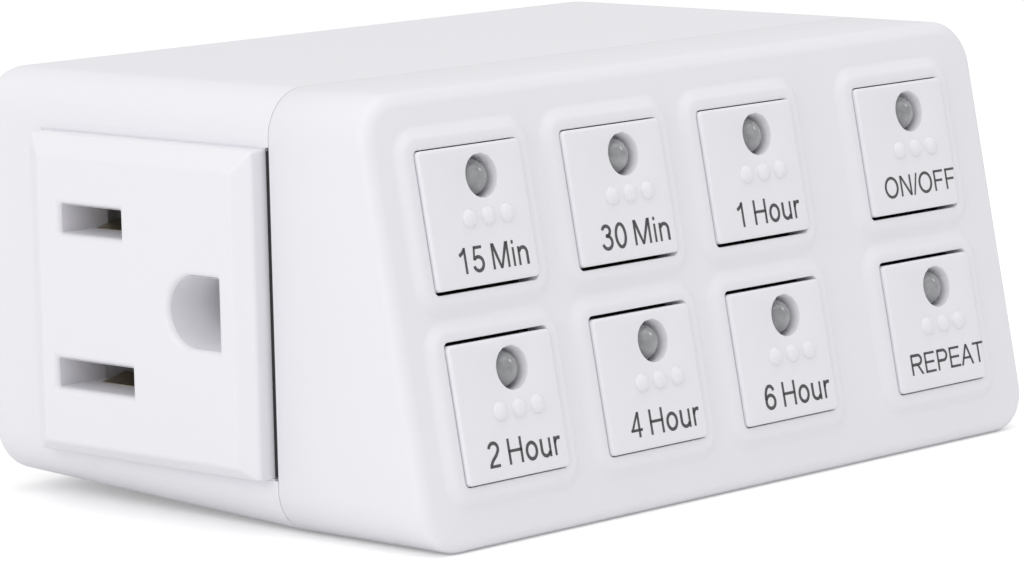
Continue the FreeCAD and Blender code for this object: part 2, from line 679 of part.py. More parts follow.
def ground_outline(sketch, margin):
    """Ground hole: round towards the slots, flat on the side of the key face."""
    first = sketch.GeometryCount
    radius = "ground_hole_radius + %s" % margin
    flat = "ground_hole_flat + %s" % margin
    y, r, f = -value(GROUND_LINE), value(radius), value(flat)
    arc = Part.ArcOfCircle(Part.Circle(Vector(y, 0, 0), Vector(0, 0, 1), r), -math.pi / 2, math.pi / 2)
    sketch.addGeometry([
        arc,
        Part.LineSegment(Vector(y, r, 0), Vector(y - f, r, 0)),
        Part.LineSegment(Vector(y - f, r, 0), Vector(y - f, -r, 0)),
        Part.LineSegment(Vector(y - f, -r, 0), Vector(y, -r, 0)),
    ], False)
    sketch.addConstraint([
        Sketcher.Constraint("Tangent", first, 2, first + 1, 1),
        Sketcher.Constraint("Coincident", first + 1, 2, first + 2, 1),
        Sketcher.Constraint("Coincident", first + 2, 2, first + 3, 1),
        Sketcher.Constraint("Tangent", first + 3, 2, first, 1),
        Sketcher.Constraint("Horizontal", first + 1),
        Sketcher.Constraint("Vertical", first + 2),
    ])
    tag = "ground%d_" % first
    constrain(sketch, "Radius", (first,), radius, tag + "radius")
    constrain(sketch, "DistanceX", (-1, 1, first, 3), "-%s" % GROUND_LINE, tag + "across")
    constrain(sketch, "DistanceY", (-1, 1, first, 3), "0", tag + "up")
    constrain(sketch, "DistanceX", (first + 1, 2, first, 3), flat, tag + "flat")


def outlet_square(sketch, margin):
    """Socket plate outline with square corners and a margin all round."""
    plain_box(sketch, "-%s" % OUTLET_MIDDLE, "0", "outlet_side + 2 * (%s)" % margin,
              "outlet_side + 2 * (%s)" % margin)


def outlet_face():
    piece = Piece("outlet_face")
    outline = piece.sketch("YZ_Plane", "-%s + outlet_bevel" % OUTLET_OUT)
    outlet_square(outline, "0")
    piece.pad(outline, "%s - outlet_bevel - %s" % (OUTLET_OUT, OUTLET_IN))
    base = piece.sketch("YZ_Plane", "-%s + outlet_bevel" % OUTLET_OUT)
    outlet_square(base, "0")
    flat = piece.sketch("YZ_Plane", "-%s" % OUTLET_OUT)
    plain_box(flat, "-%s - outlet_face_shift" % OUTLET_MIDDLE, "-outlet_face_shift", "outlet_face_width",
              "outlet_face_height")
    piece.loft(base, flat)
    flange = piece.sketch("YZ_Plane", "-%s" % OUTLET_IN)
    outlet_square(flange, "flange_reach")
    piece.pad(flange, "outlet_flange", Reversed=True)
    hollow = piece.sketch("YZ_Plane", "-%s" % OUTLET_IN)
    outlet_square(hollow, "-outlet_wall")
    piece.pocket(hollow, "%s - %s - outlet_skin" % (OUTLET_OUT, OUTLET_IN))
    for margin, depth, taper in (("0", "outlet_skin", None), ("slot_lead", "slot_lead", "-45 deg")):
        holes = piece.sketch("YZ_Plane", "-%s" % OUTLET_OUT)
        for up, length in SLOT_ROWS:
            plain_box(holes, "-slot_line", up, "%s + 2 * (%s)" % (length, margin), "slot_height + 2 * (%s)" % margin)
        ground_outline(holes, margin)
        fields = {"TaperAngle": taper} if taper else {}
        piece.pocket(holes, depth, Reversed=True, **fields)
    return piece


CARRIER_OUT = "(%s - outlet_skin - slip)" % OUTLET_OUT
CARRIER_IN = "(%s - outlet_skin - slip - carrier_depth)" % OUTLET_OUT
CARRIER_MARGIN = "-outlet_wall - slip"
CONTACT_FLOOR = "(%s + carrier_back + slip)" % CARRIER_IN


def contact_carrier():
    """Insulating block with a pocket for each contact and a slot in its floor for each tail."""
    piece = Piece("contact_carrier")
    block = piece.sketch("YZ_Plane", "-%s" % CARRIER_IN)
    outlet_square(block, CARRIER_MARGIN)
    piece.pad(block, "carrier_depth", Reversed=True)
    pockets = piece.sketch("YZ_Plane", "-%s" % CARRIER_OUT)
    for up, length in SLOT_ROWS:
        plain_box(pockets, "-slot_line", up, "neutral_slot + slip", "contact_spread + 2 * slip")
    circle(pockets, "-%s" % GROUND_LINE, "0", "ground_hole_radius + sleeve_wall + slip")
    piece.pocket(pockets, "carrier_depth - carrier_back", Reversed=True)
    tails = piece.sketch("YZ_Plane", "-%s" % CARRIER_OUT)
    for up, length in SLOT_ROWS:
        plain_box(tails, "-slot_line", up, "tail_width + 2 * slip", "contact_thickness + 2 * slip")
    plain_box(tails, "-%s" % GROUND_LINE, "0", "contact_thickness + 2 * slip", "tail_width + 2 * slip")
    piece.pocket(tails, "carrier_depth + wall", Reversed=True)
    return piece


def blade_contact(label, up):
    """Folded strip whose two leaves pinch a blade, with a tail out of the insulator."""
    piece = Piece(label, ("-%s" % CONTACT_FLOOR, "-slot_line", up))
    side = piece.sketch("XZ_Plane")
    outer = "contact_spread / 2"
    inner = "contact_spread / 2 - contact_thickness"
    pinch = "contact_pinch / 2"
    neck = "-contact_length + contact_spread * 0.75"
    polygon(side, [
        ("0", "-(%s)" % outer),
        ("0", outer),
        (neck + " + contact_thickness", outer),
        (neck, "%s + contact_thickness" % pinch),
        ("-contact_length", outer),
        ("-contact_length", inner),
        (neck, pinch),
        (neck + " + contact_thickness", inner),
        ("-contact_thickness", inner),
        ("-contact_thickness", "-(%s)" % inner),
        (neck + " + contact_thickness", "-(%s)" % inner),
        (neck, "-(%s)" % pinch),
        ("-contact_length", "-(%s)" % inner),
        ("-contact_length", "-(%s)" % outer),
        (neck, "-(%s) - contact_thickness" % pinch),
        (neck + " + contact_thickness", "-(%s)" % outer),
    ])
    piece.pad(side, "contact_width", Midplane=True)
    tail = piece.sketch("YZ_Plane", "-contact_thickness / 2")
    plain_box(tail, "0", "0", "tail_width", "contact_thickness")
    piece.pad(tail, "contact_thickness / 2 + slip + carrier_back + tail_length")
    return piece


def ground_contact():
    """Slit sleeve that grips a ground pin, on a floor disc with a tail."""
    piece = Piece("ground_contact", ("-%s" % CONTACT_FLOOR, "-%s" % GROUND_LINE, "0"))
    outer = "sleeve_bore + sleeve_wall"
    disc = piece.sketch("YZ_Plane", "-sleeve_wall")
    circle(disc, "0", "0", outer)
    piece.pad(disc, "sleeve_wall")
    neck = piece.sketch("YZ_Plane", "-contact_length + sleeve_length")
    circle(neck, "0", "0", outer)
    circle(neck, "0", "0", "sleeve_bore")
    piece.pad(neck, "contact_length - sleeve_length", )
    sleeve = piece.sketch("YZ_Plane", "-contact_length")
    circle(sleeve, "0", "0", outer)
    circle(sleeve, "0", "0", "sleeve_bore")
    piece.pad(sleeve, "sleeve_length")
    slit = piece.sketch("YZ_Plane", "-contact_length")
    polygon(slit, box_corners("-(%s) - slip" % outer, "-sleeve_slit / 2", "0", "sleeve_slit / 2"))
    piece.pocket(slit, "contact_length - sleeve_wall", Reversed=True)
    tail = piece.sketch("YZ_Plane", "-sleeve_wall / 2")
    plain_box(tail, "0", "0", "contact_thickness", "tail_width")
    piece.pad(tail, "sleeve_wall / 2 + slip + carrier_back + tail_length")
    return piece


# Keys: bevelled caps with a light hole, three dots, a rib over the switch and two hinge arms

def key(name, column, upper):
    """Cap whose origin is the key's middle on the face plane; its two arms end in beads on the hinge line."""
    side = "1" if upper else "-1"
    piece = Piece("key_" + name, face_point(column, row_middle(upper), "0"), leaning=True)
    top = "pad_height + key_proud"
    foot = "key_skirt"
    light_up = "key_height / 2 - light_drop"
    switch_up = "key_height / 2 - switch_drop"

    cap = piece.sketch("XY_Plane", "-" + foot)
    centred_box(cap, "0", "0", "key_width", "key_height", "key_corner")
    piece.pad(cap, "%s + %s - key_bevel" % (foot, top))
    rim = piece.sketch("XY_Plane", "%s - key_bevel" % top)
    centred_box(rim, "0", "0", "key_width", "key_height", "key_corner")
    piece.pad(rim, "key_bevel", TaperAngle="-35 deg")
    hollow = piece.sketch("XY_Plane", "-" + foot)
    plain_box(hollow, "0", "0", "key_width - 2 * key_skin", "key_height - 2 * key_skin")
    piece.pocket(hollow, "%s + %s - key_skin" % (foot, top), Reversed=True)

    rib = piece.sketch("XY_Plane", "%s - key_skin / 2" % top)
    plain_box(rib, "light_shift", switch_up, "rib_side", "rib_side")
    piece.pad(rib, "%s - key_skin / 2 + %s" % (top, RIB_FOOT), Reversed=True)
    dots = piece.sketch("XY_Plane", top)
    for step in ("-dot_pitch", "0", "dot_pitch"):
        circle(dots, "light_shift + (%s)" % step, "key_height / 2 - dot_drop", "dot_radius")
    piece.pad(dots, "dot_height")

    hole = piece.sketch("XY_Plane", "%s + dot_height" % top)
    circle(hole, "light_shift", light_up, "light_hole_radius")
    piece.pocket(hole, "dot_height + %s + %s + key_skin" % (top, foot))

    line = "%s * (key_height / 2 + hinge_reach)" % side
    for reach, height in ((line, "arm_thickness"), ("%s * key_height / 2" % side, LEG_HEIGHT)):
        arms = piece.sketch("XY_Plane", "-hinge_depth - arm_thickness / 2")
        inner = "%s * (key_height / 2 - key_skin)" % side
        low, high = (inner, reach) if upper else (reach, inner)
        for across in ARMS:
            polygon(arms, box_corners("%s - arm_width / 2" % across, low, "%s + arm_width / 2" % across, high))
        piece.pad(arms, height)
    for across in ARMS:
        bead = piece.sketch("YZ_Plane", across)
        circle(bead, line, "-hinge_depth", "arm_thickness / 2")
        piece.pad(bead, "arm_width", Midplane=True)
    return piece


ARMS = ("-arm_spacing / 2", "arm_spacing / 2")
LEG_HEIGHT = "hinge_depth + arm_thickness / 2 - key_skirt + slip"
BUTTON_TOP = "(board_depth - switch_height - button_height)"
RIB_FOOT = "(board_depth - switch_height - button_height - touch_gap)"


def key_carrier(label, upper):
    """Bar behind the case face that the hinge arms of one row bear on."""
    sign = "1" if upper else "-1"
    piece = Piece(label, face_point("0", row_middle(upper), "-hinge_depth"), leaning=True)
    inner = "%s * (key_height / 2 + hinge_reach + arm_thickness / 2 + hinge_gap)" % sign
    outer = "%s * (key_height / 2 + hinge_reach + arm_thickness / 2 + hinge_gap + carrier_width)" % sign
    low, high = (inner, outer) if upper else (outer, inner)
    left = "%s - key_width / 2" % COLUMNS[0]
    right = "%s + key_width / 2" % COLUMNS[3]
    bar = piece.sketch("XY_Plane", "-carrier_thickness / 2")
    polygon(bar, box_corners(left, low, right, high))
    piece.pad(bar, "carrier_thickness")
    return piece


# Control board and what stands on it


def control_board():
    piece = Piece("control_board", face_point("0", "0", "-board_depth - board_thickness"), leaning=True)
    outline = piece.sketch("XY_Plane")
    plain_box(outline, "0", "board_rise", "board_length", "board_height")
    piece.pad(outline, "board_thickness")
    holes = piece.sketch("XY_Plane")
    for across, up in SCREWS:
        circle(holes, across, "(%s) / cos(%s) + (board_depth + board_thickness / 2) * tan(%s)" % (up, LEAN, LEAN),
               "boss_radius + boss_slip")
    for across, up in BOARD_SCREWS:
        circle(holes, across, up, "small_screw_radius + slip")
    piece.pocket(holes, "board_thickness", Reversed=True)
    return piece


def microcontroller():
    """Chip on the back of the control board."""
    back = "-board_depth - board_thickness - chip_height - slip / 3"
    piece = Piece("microcontroller", face_point("blade_spacing / 2", "board_height / 8", back), leaning=True)
    block = piece.sketch("XY_Plane")
    plain_box(block, "0", "0", "chip_length", "chip_width")
    piece.pad(block, "chip_height")
    return piece


def switch_place(column, upper):
    return "%s + light_shift" % column, "%s + key_height / 2 - switch_drop" % row_middle(upper)


def switch_bases():
    """The eight push switch bodies, one group, each with a well for its button."""
    piece = Piece("switch_bases", face_point("0", "0", "-board_depth + slip / 3"), leaning=True)
    piece.body.AllowCompound = True
    base = piece.sketch("XY_Plane")
    well = piece.sketch("XY_Plane", "switch_height - slip / 3")
    for name, column, upper in KEYS:
        across, up = switch_place(column, upper)
        plain_box(base, across, up, "switch_side", "switch_side")
        circle(well, across, up, "button_radius + button_slip")
    piece.pad(base, "switch_height - slip / 3")
    piece.pocket(well, "switch_height / 2")
    return piece


def switch_button(name, column, upper):
    across, up = switch_place(column, upper)
    piece = Piece("button_" + name, face_point(across, up, "-%s" % BUTTON_TOP), leaning=True)
    disc = piece.sketch("XY_Plane")
    circle(disc, "0", "0", "button_radius")
    piece.pad(disc, "button_height + switch_height / 4", Reversed=True)
    return piece


def key_light(name, column, upper):
    """Domed light with a flange and two leads, turned about the normal of the face."""
    across = "%s + light_shift" % column
    up = "%s + key_height / 2 - light_drop" % row_middle(upper)
    tip = "pad_height + key_proud - light_depth"
    piece = Piece("light_" + name, face_point(across, up, tip), leaning=True)
    side = piece.sketch("XZ_Plane")
    polygon(side, [
        ("0", "-light_length"),
        ("light_radius + light_rim", "-light_length"),
        ("light_radius + light_rim", "-light_length + 4 * light_rim"),
        ("light_radius", "-light_length + 4 * light_rim"),
        ("light_radius", "-light_radius * 0.8"),
        ("light_radius * 0.8", "-light_radius * 0.32"),
        ("light_radius * 0.42", "-light_radius * 0.08"),
        ("0", "0"),
    ])
    piece.revolve(side)
    leads = piece.sketch("XY_Plane", "-light_length")
    for step in ("-light_radius / 2", "light_radius / 2"):
        plain_box(leads, step, "0", "lead_thickness", "lead_thickness")
    piece.pad(leads, "board_depth + %s - light_length - slip / 3" % tip, Reversed=True)
    return piece


# Power board and what stands on it

def power_board():
    piece = Piece("power_board")
    outline = piece.sketch("XZ_Plane", POWER_BACK)
    polygon(outline, box_corners("power_board_left", "-power_board_height / 2", "power_board_right",
                                 "power_board_height / 2"))
    piece.pad(outline, "power_board_thickness")
    notches = piece.sketch("XZ_Plane", POWER_FRONT)
    for up in ("screw_height", "-screw_height"):
        circle(notches, "screw_right", up, "post_radius + slip")
    for across in ("blade_spacing / 2", "-blade_spacing / 2"):
        plain_box(notches, across, PLUG_LINE, "blade_thickness + 2 * slip", "tail_width + 2 * slip")
    circle(notches, "0", "%s - ground_offset" % PLUG_LINE, "tail_width / 2 + slip")
    piece.pocket(notches, "power_board_thickness")
    return piece


def standing(label, across, up):
    """Piece on the front of the power board, its own z running from the board towards the key face."""
    piece = Piece(label, (across, "-%s - part_gap" % POWER_FRONT, up))
    return piece


def relay():
    piece = standing("relay", "power_board_right - relay_width / 2 - slip", "0")
    case = piece.sketch("XZ_Plane")
    plain_box(case, "0", "0", "relay_width", "relay_length")
    piece.pad(case, "relay_height - slip * 4")
    lid = piece.sketch("XZ_Plane", "relay_height - slip * 4")
    plain_box(lid, "0", "0", "relay_width", "relay_length")
    piece.pad(lid, "slip * 4", TaperAngle="-45 deg")
    pins = piece.sketch("XZ_Plane")
    for across in ("-relay_width / 3", "relay_width / 3"):
        for up in ("-relay_length / 2.6", "relay_length / 2.6"):
            plain_box(pins, across, up, "lead_thickness * 2", "lead_thickness")
    piece.pad(pins, "part_gap - slip / 3", Reversed=True)
    return piece


def film_capacitor():
    piece = standing("film_capacitor", "0", "%s + tail_width / 2 + slip + film_width / 2" % PLUG_LINE)
    case = piece.sketch("XZ_Plane")
    plain_box(case, "0", "0", "film_length", "film_width")
    piece.pad(case, "film_height")
    leads = piece.sketch("XZ_Plane")
    for across in ("-film_length / 2.6", "film_length / 2.6"):
        plain_box(leads, across, "0", "lead_thickness", "lead_thickness")
    piece.pad(leads, "part_gap - slip / 3", Reversed=True)
    return piece


def round_part(label, across, up, radius, height):
    """Can on the power board with a rolled edge and two leads."""
    piece = standing(label, across, up)
    can = piece.sketch("XZ_Plane")
    circle(can, "0", "0", radius)
    piece.pad(can, height)
    rolled = piece.edges(lambda middle, edge: middle.y < -value(height) + 0.01)
    piece.blend("Chamfer", rolled, "slip * 3")
    leads = piece.sketch("XZ_Plane")
    for step in ("-%s / 2" % radius, "%s / 2" % radius):
        plain_box(leads, step, "0", "lead_thickness", "lead_thickness")
    piece.pad(leads, "part_gap - slip / 3", Reversed=True)
    return piece


def surge_absorber():
    """Disc that stands on edge on its two leads."""
    piece = standing("surge_absorber", "-blade_spacing / 2 - fuse_radius",
                     "-power_board_height / 2 + disc_radius + slip")
    disc = piece.sketch("YZ_Plane")
    circle(disc, "-disc_radius", "0", "disc_radius")
    piece.pad(disc, "disc_thickness", Midplane=True)
    leads = piece.sketch("XZ_Plane", "slip * 2")
    for up in ("-disc_radius / 3", "disc_radius / 3"):
        plain_box(leads, "0", up, "lead_thickness", "lead_thickness")
    piece.pad(leads, "part_gap + slip * 2 - slip / 3", Reversed=True)
    return piece


def rectifier():
    piece = standing("rectifier", "blade_spacing / 2 + blade_thickness + bridge_width / 2", "bridge_length / 6")
    case = piece.sketch("XZ_Plane")
    plain_box(case, "0", "0", "bridge_width", "bridge_length")
    piece.pad(case, "bridge_height")
    leads = piece.sketch("XZ_Plane", "bridge_height / 3")
    for up in ("-bridge_length / 4", "bridge_length / 4"):
        plain_box(leads, "0", up, "bridge_width + 4 * lead_thickness", "lead_thickness * 2")
    piece.pad(leads, "lead_thickness")
    return piece


# Screws, wires and the ribbon cable

def screws(label, places, point, leaning, role, head_at, head_radius, head_height, thread_radius, length, into):
    """Group of equal pan-head screws along one direction."""
    piece = Piece(label, point, leaning)
    piece.body.AllowCompound = True
    heads = piece.sketch(role, head_at)
    for across, up in places:
        circle(heads, across, up, head_radius)
    piece.pad(heads, head_height, Reversed=into)
    threads = piece.sketch(role, head_at)
    for across, up in places:
        circle(threads, across, up, thread_radius)
    piece.pad(threads, length, Reversed=not into)
    crosses = piece.sketch(role, "%s %s %s" % (head_at, "-" if into else "+", head_height))
    for across, up in places:
        polygon(crosses, box_corners("%s - %s / 2" % (across, head_radius), "%s - slip" % up,
                                     "%s + %s / 2" % (across, head_radius), "%s + slip" % up))
    piece.pocket(crosses, "%s / 2" % head_height, Reversed=into)
    return piece


def rounded_path(points):
    """Straight runs joined by tangent arcs through the given corner points."""
    edges = []
    start = points[0]
    for before, corner, after in zip(points, points[1:], points[2:]):
        arrive = (corner - before).normalize()
        leave = (after - corner).normalize()
        half = arrive.getAngle(leave) / 2
        run = min((corner - before).Length, (after - corner).Length) * 0.45
        first, last = corner - arrive * run, corner + leave * run
        radius = run / math.tan(half)
        inward = (leave - arrive).normalize()
        middle = corner + inward * (radius / math.cos(half) - radius)
        edges.append(Part.LineSegment(start, first).toShape())
        edges.append(Part.Arc(first, middle, last).toShape())
        start = last
    edges.append(Part.LineSegment(start, points[-1]).toShape())
    return Part.Wire(edges)


def wire(label, places):
    """Insulated wire swept along its route; a pipe along a space path has no sketch to carry it."""
    points = [Vector(*[value(text) for text in place]) for place in places]
    path = rounded_path(points)
    section = Part.Wire(Part.makeCircle(value("wire_radius"), points[0], points[1] - points[0]))
    item = doc.addObject("Part::Feature", label)
    item.Label = label
    item.Shape = path.makePipeShell([section], True, False)
    item.Placement = Placement()
    PIECES.append(item)
    return item


def ribbon_cable():
    """Flat cable from the power board's lower edge to the back of the control board, with one slant."""
    piece = Piece("ribbon_cable", ("-ribbon_width / 4", "0", "0"))
    side = piece.sketch("YZ_Plane")
    start = "-%s - slip / 3" % POWER_FRONT
    foot = "-power_board_height / 2 + ribbon_thickness"
    _, finish, rise = face_point("0", "foot_of_ribbon", "-board_depth - board_thickness - slip")
    rise = rise.replace("foot_of_ribbon", "-board_height / 4")
    finish = finish.replace("foot_of_ribbon", "-board_height / 4")
    slant = "film_height"
    polygon(side, [
        (start, foot),
        (start + " - " + slant, foot),
        ("%s + %s / 2" % (finish, slant), rise),
        (finish, rise),
        (finish, "%s + ribbon_thickness" % rise),
        ("%s + %s / 2" % (finish, slant), "%s + ribbon_thickness" % rise),
        (start + " - " + slant, foot + " + ribbon_thickness"),
        (start, foot + " + ribbon_thickness"),
    ])
    piece.pad(side, "ribbon_width", Midplane=True)
    return piece


def export(items):
    """Every sub-part is one valid shape before any file is written."""
    doc.recompute()
    faults = [item.Label for item in doc.Objects if "Invalid" in item.State or "Error" in item.State]
    for item in items:
        shape = item.Shape
        if shape.isNull() or not shape.isValid() or not shape.Solids:
            faults.append(item.Label)
    if faults:
        raise ValueError("pieces with faults: " + ", ".join(faults))
    for item in items:
        item.Shape.exportStep("parts/%s.step" % item.Label)


front_shell()
back_shell()
blade_holder()
blade("line_blade", "blade_spacing / 2", "line_blade_width")
blade("neutral_blade", "-blade_spacing / 2", "neutral_blade_width")
ground_pin()
outlet_face()
contact_carrier()
blade_contact("line_contact", "blade_spacing / 2")
blade_contact("neutral_contact", "-blade_spacing / 2")
ground_contact()
for key_name, key_column, key_upper in KEYS:
    key(key_name, key_column, key_upper)
    switch_button(key_name, key_column, key_upper)
    key_light(key_name, key_column, key_upper)
key_carrier("key_carrier_upper", True)
key_carrier("key_carrier_lower", False)
control_board()
switch_bases()
microcontroller()
power_board()
relay()
film_capacitor()
round_part("storage_capacitor", "blade_spacing / 2 + blade_thickness",
           "-power_board_height / 2 + can_radius + slip * 8", "can_radius", "can_height")
round_part("fuse", "-film_length / 2 - fuse_radius - slip * 2", "power_board_height / 2 - fuse_radius - slip",
           "fuse_radius", "fuse_length")
surge_absorber()
rectifier()
FLAT = ("0", "0", "0")
screws("case_screws", SCREWS, FLAT, False, "XZ_Plane", "back_depth - screw_seat", "screw_head_radius",
       "screw_head_height", "screw_radius", "screw_length", True)
screws("holder_screws", HOLDER_SCREWS, FLAT, False, "XZ_Plane", HOLDER_FRONT, "small_head_radius",
       "small_head_height", "small_screw_radius", "holder_thickness", False)
screws("board_screws", BOARD_SCREWS, face_point("0", "0", "-board_depth - board_thickness"), True, "XY_Plane", "0",
       "small_head_radius", "small_head_height", "small_screw_radius", "holder_thickness", True)
TAIL_END = "-%s + tail_length + slip / 3" % CARRIER_IN
WIRE_FOOT = "-%s - slip / 3" % POWER_FRONT
for wire_name, tail_up in (("line_wire", "blade_spacing / 2"), ("neutral_wire", "-blade_spacing / 2")):
    wire(wire_name, [
        (TAIL_END, "-slot_line", tail_up),
        ("power_board_left + 2 * wire_radius", "-slot_line", tail_up),
        ("power_board_left + 2 * wire_radius", WIRE_FOOT, tail_up),
    ])
wire("ground_wire", [
    (TAIL_END, "-%s" % GROUND_LINE, "0"),
    ("-tail_length", "-%s" % GROUND_LINE, "0"),
    ("0", "-%s - tail_through - wire_radius" % POWER_FRONT, "%s - ground_offset" % PLUG_LINE),
])
ribbon_cable()
export(PIECES)
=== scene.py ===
# Plug-in timer switch on a plain pale floor: moulded white case, soft raised pads, eight printed keys.
import json
import math

import bmesh
import bpy
from mathutils import Matrix, Vector

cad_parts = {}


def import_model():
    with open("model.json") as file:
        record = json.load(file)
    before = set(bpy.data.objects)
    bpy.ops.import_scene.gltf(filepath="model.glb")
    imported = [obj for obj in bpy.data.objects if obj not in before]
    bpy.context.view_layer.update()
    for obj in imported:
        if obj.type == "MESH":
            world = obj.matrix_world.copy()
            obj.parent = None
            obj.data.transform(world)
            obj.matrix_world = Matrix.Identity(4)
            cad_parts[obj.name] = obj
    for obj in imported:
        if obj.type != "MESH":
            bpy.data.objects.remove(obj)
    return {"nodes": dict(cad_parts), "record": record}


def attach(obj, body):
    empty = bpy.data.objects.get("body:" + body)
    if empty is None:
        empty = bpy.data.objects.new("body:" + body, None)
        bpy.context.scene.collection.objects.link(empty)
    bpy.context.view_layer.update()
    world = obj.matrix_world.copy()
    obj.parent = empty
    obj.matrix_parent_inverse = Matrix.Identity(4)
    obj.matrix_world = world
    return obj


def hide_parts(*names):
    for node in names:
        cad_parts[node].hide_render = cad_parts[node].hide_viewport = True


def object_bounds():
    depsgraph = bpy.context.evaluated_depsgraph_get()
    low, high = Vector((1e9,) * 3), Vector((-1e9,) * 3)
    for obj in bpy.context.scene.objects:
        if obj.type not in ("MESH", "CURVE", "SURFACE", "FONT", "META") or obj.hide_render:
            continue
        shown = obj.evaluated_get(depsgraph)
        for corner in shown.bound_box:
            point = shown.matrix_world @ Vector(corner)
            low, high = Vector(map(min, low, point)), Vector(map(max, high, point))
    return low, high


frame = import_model()
cad_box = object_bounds()
MM = 0.001

# Sizes in millimetres: the case, keys, pads and rows are as in the solids. The small corners, gaps,
# lights and dots are drawn closer to the photograph.

LEAN = math.radians(10.7)
FACE_DEPTH = 48.25
BACK_DEPTH = 34.8
HALF_LENGTH = 37.5
HALF_HEIGHT = 17.7
CORNER = 3.8
WALL = 2.0
KEY_WIDTH = 11.5
KEY_HEIGHT = 11.0
KEY_CORNER = 0.42
KEY_TOP = 0.9
KEY_FOOT = -2.4
PAD_HEIGHT = 0.55
SIDE_GAP = 0.09
FREE_GAP = 0.28
LIGHT_X = 0.9
LIGHT_DROP = 2.5
LIGHT_Y = KEY_HEIGHT / 2 - LIGHT_DROP
HOLE_RADIUS = 1.74

COLUMNS = (-27.2, -10.7, 5.8, 25.8)
ROW_SHIFT = 0.2
ROW_STEP = 7.6
ROWS = (ROW_SHIFT + ROW_STEP, ROW_SHIFT - ROW_STEP)

# Key, column, row, its words and their width
KEYS = (
    ("15_min", 0, 0, "15 Min", 7.75), ("30_min", 1, 0, "30 Min", 8.15),
    ("1_hour", 2, 0, "1 Hour", 7.9), ("on_off", 3, 0, "ON/OFF", 9.5),
    ("2_hour", 0, 1, "2 Hour", 8.2), ("4_hour", 1, 1, "4 Hour", 8.3),
    ("6_hour", 2, 1, "6 Hour", 8.3), ("repeat", 3, 1, "REPEAT", 9.9),
)


def face_matrix(across, up):
    """Place of a piece drawn in the face frame: x along the rows, y up the slope, z out of the face."""
    slope = Vector((0, math.sin(LEAN), math.cos(LEAN)))
    normal = Vector((0, -math.cos(LEAN), math.sin(LEAN)))
    origin = Vector((across, -FACE_DEPTH, 0)) + slope * up
    turn = Matrix((Vector((1, 0, 0)), slope, normal)).transposed().to_4x4()
    return Matrix.Translation(origin * MM) @ turn


# Materials: texture scales are per metre, and reliefs are a strength and a distance in millimetres

CASE_WHITE = (0.845, 0.838, 0.876)
PLATE_WHITE = (0.85, 0.842, 0.88)
NEAR_BLACK = (0.018, 0.018, 0.02)
CLOUD_SCALE, CLOUD_SHADE = 90.0, 0.985
WAVE_SCALE, WAVE_RELIEF = 55.0, (0.25, 0.08)
GRAIN_DISTANCE = 0.012
STREAK_SCALE, STREAK_RELIEF = 900.0, (0.15, 0.01)
TARNISH_SCALE, TARNISH_SHADE = 260.0, 0.9
MOTTLE_SHADE, MOTTLE_RELIEF = 0.7, (0.2, 0.03)
SMOKE_SCALE, SMOKE_DARK, SMOKE_PALE = 900.0, (0.16, 0.165, 0.17), (0.42, 0.43, 0.44)
INK_SCALE, INK_DARK, INK_PALE = 2600.0, (0.045, 0.046, 0.05), (0.105, 0.105, 0.11)
INK_RELIEF = (0.2, 0.01)


def nodes_of(name):
    """A new material, its node tree and its main shader."""
    material = bpy.data.materials.new(name)
    material.use_nodes = True
    tree = material.node_tree
    return material, tree, tree.nodes["Principled BSDF"]


def link(tree, source, target):
    tree.links.new(source, target)


def noise(tree, scale, detail=3.0, rough=0.55, stretch=None):
    """Noise over the piece's own metres, drawn out along an axis where stretch is given."""
    place = tree.nodes.new("ShaderNodeTexCoord").outputs["Object"]
    if stretch:
        mapping = tree.nodes.new("ShaderNodeMapping")
        mapping.inputs["Scale"].default_value = stretch
        link(tree, place, mapping.inputs["Vector"])
        place = mapping.outputs["Vector"]
    texture = tree.nodes.new("ShaderNodeTexNoise")
    texture.inputs["Scale"].default_value = scale
    texture.inputs["Detail"].default_value = detail
    texture.inputs["Roughness"].default_value = rough
    link(tree, place, texture.inputs["Vector"])
    return texture.outputs["Fac"]


def shaded(colour, factor):
    return tuple(channel * factor for channel in colour)


def colour_along(tree, shader, source, low, high):
    """Base colour between two colours along a noise."""
    mix = tree.nodes.new("ShaderNodeMix")
    mix.data_type = "RGBA"
    mix.inputs["A"].default_value = (*low, 1)
    mix.inputs["B"].default_value = (*high, 1)
    link(tree, source, mix.inputs["Factor"])
    link(tree, mix.outputs["Result"], shader.inputs["Base Color"])


def roughness_along(tree, shader, source, low, high):
    """Roughness between two values along a noise."""
    reach = tree.nodes.new("ShaderNodeMapRange")
    reach.inputs["To Min"].default_value = low
    reach.inputs["To Max"].default_value = high
    link(tree, source, reach.inputs["Value"])
    link(tree, reach.outputs["Result"], shader.inputs["Roughness"])


def bump(tree, shader, *heights):
    """Stacked bumps, each from a noise and its relief."""
    last = None
    for source, (strength, distance) in heights:
        relief = tree.nodes.new("ShaderNodeBump")
        relief.inputs["Strength"].default_value = strength
        relief.inputs["Distance"].default_value = distance * MM
        link(tree, source, relief.inputs["Height"])
        if last:
            link(tree, last, relief.inputs["Normal"])
        last = relief.outputs["Normal"]
    link(tree, last, shader.inputs["Normal"])


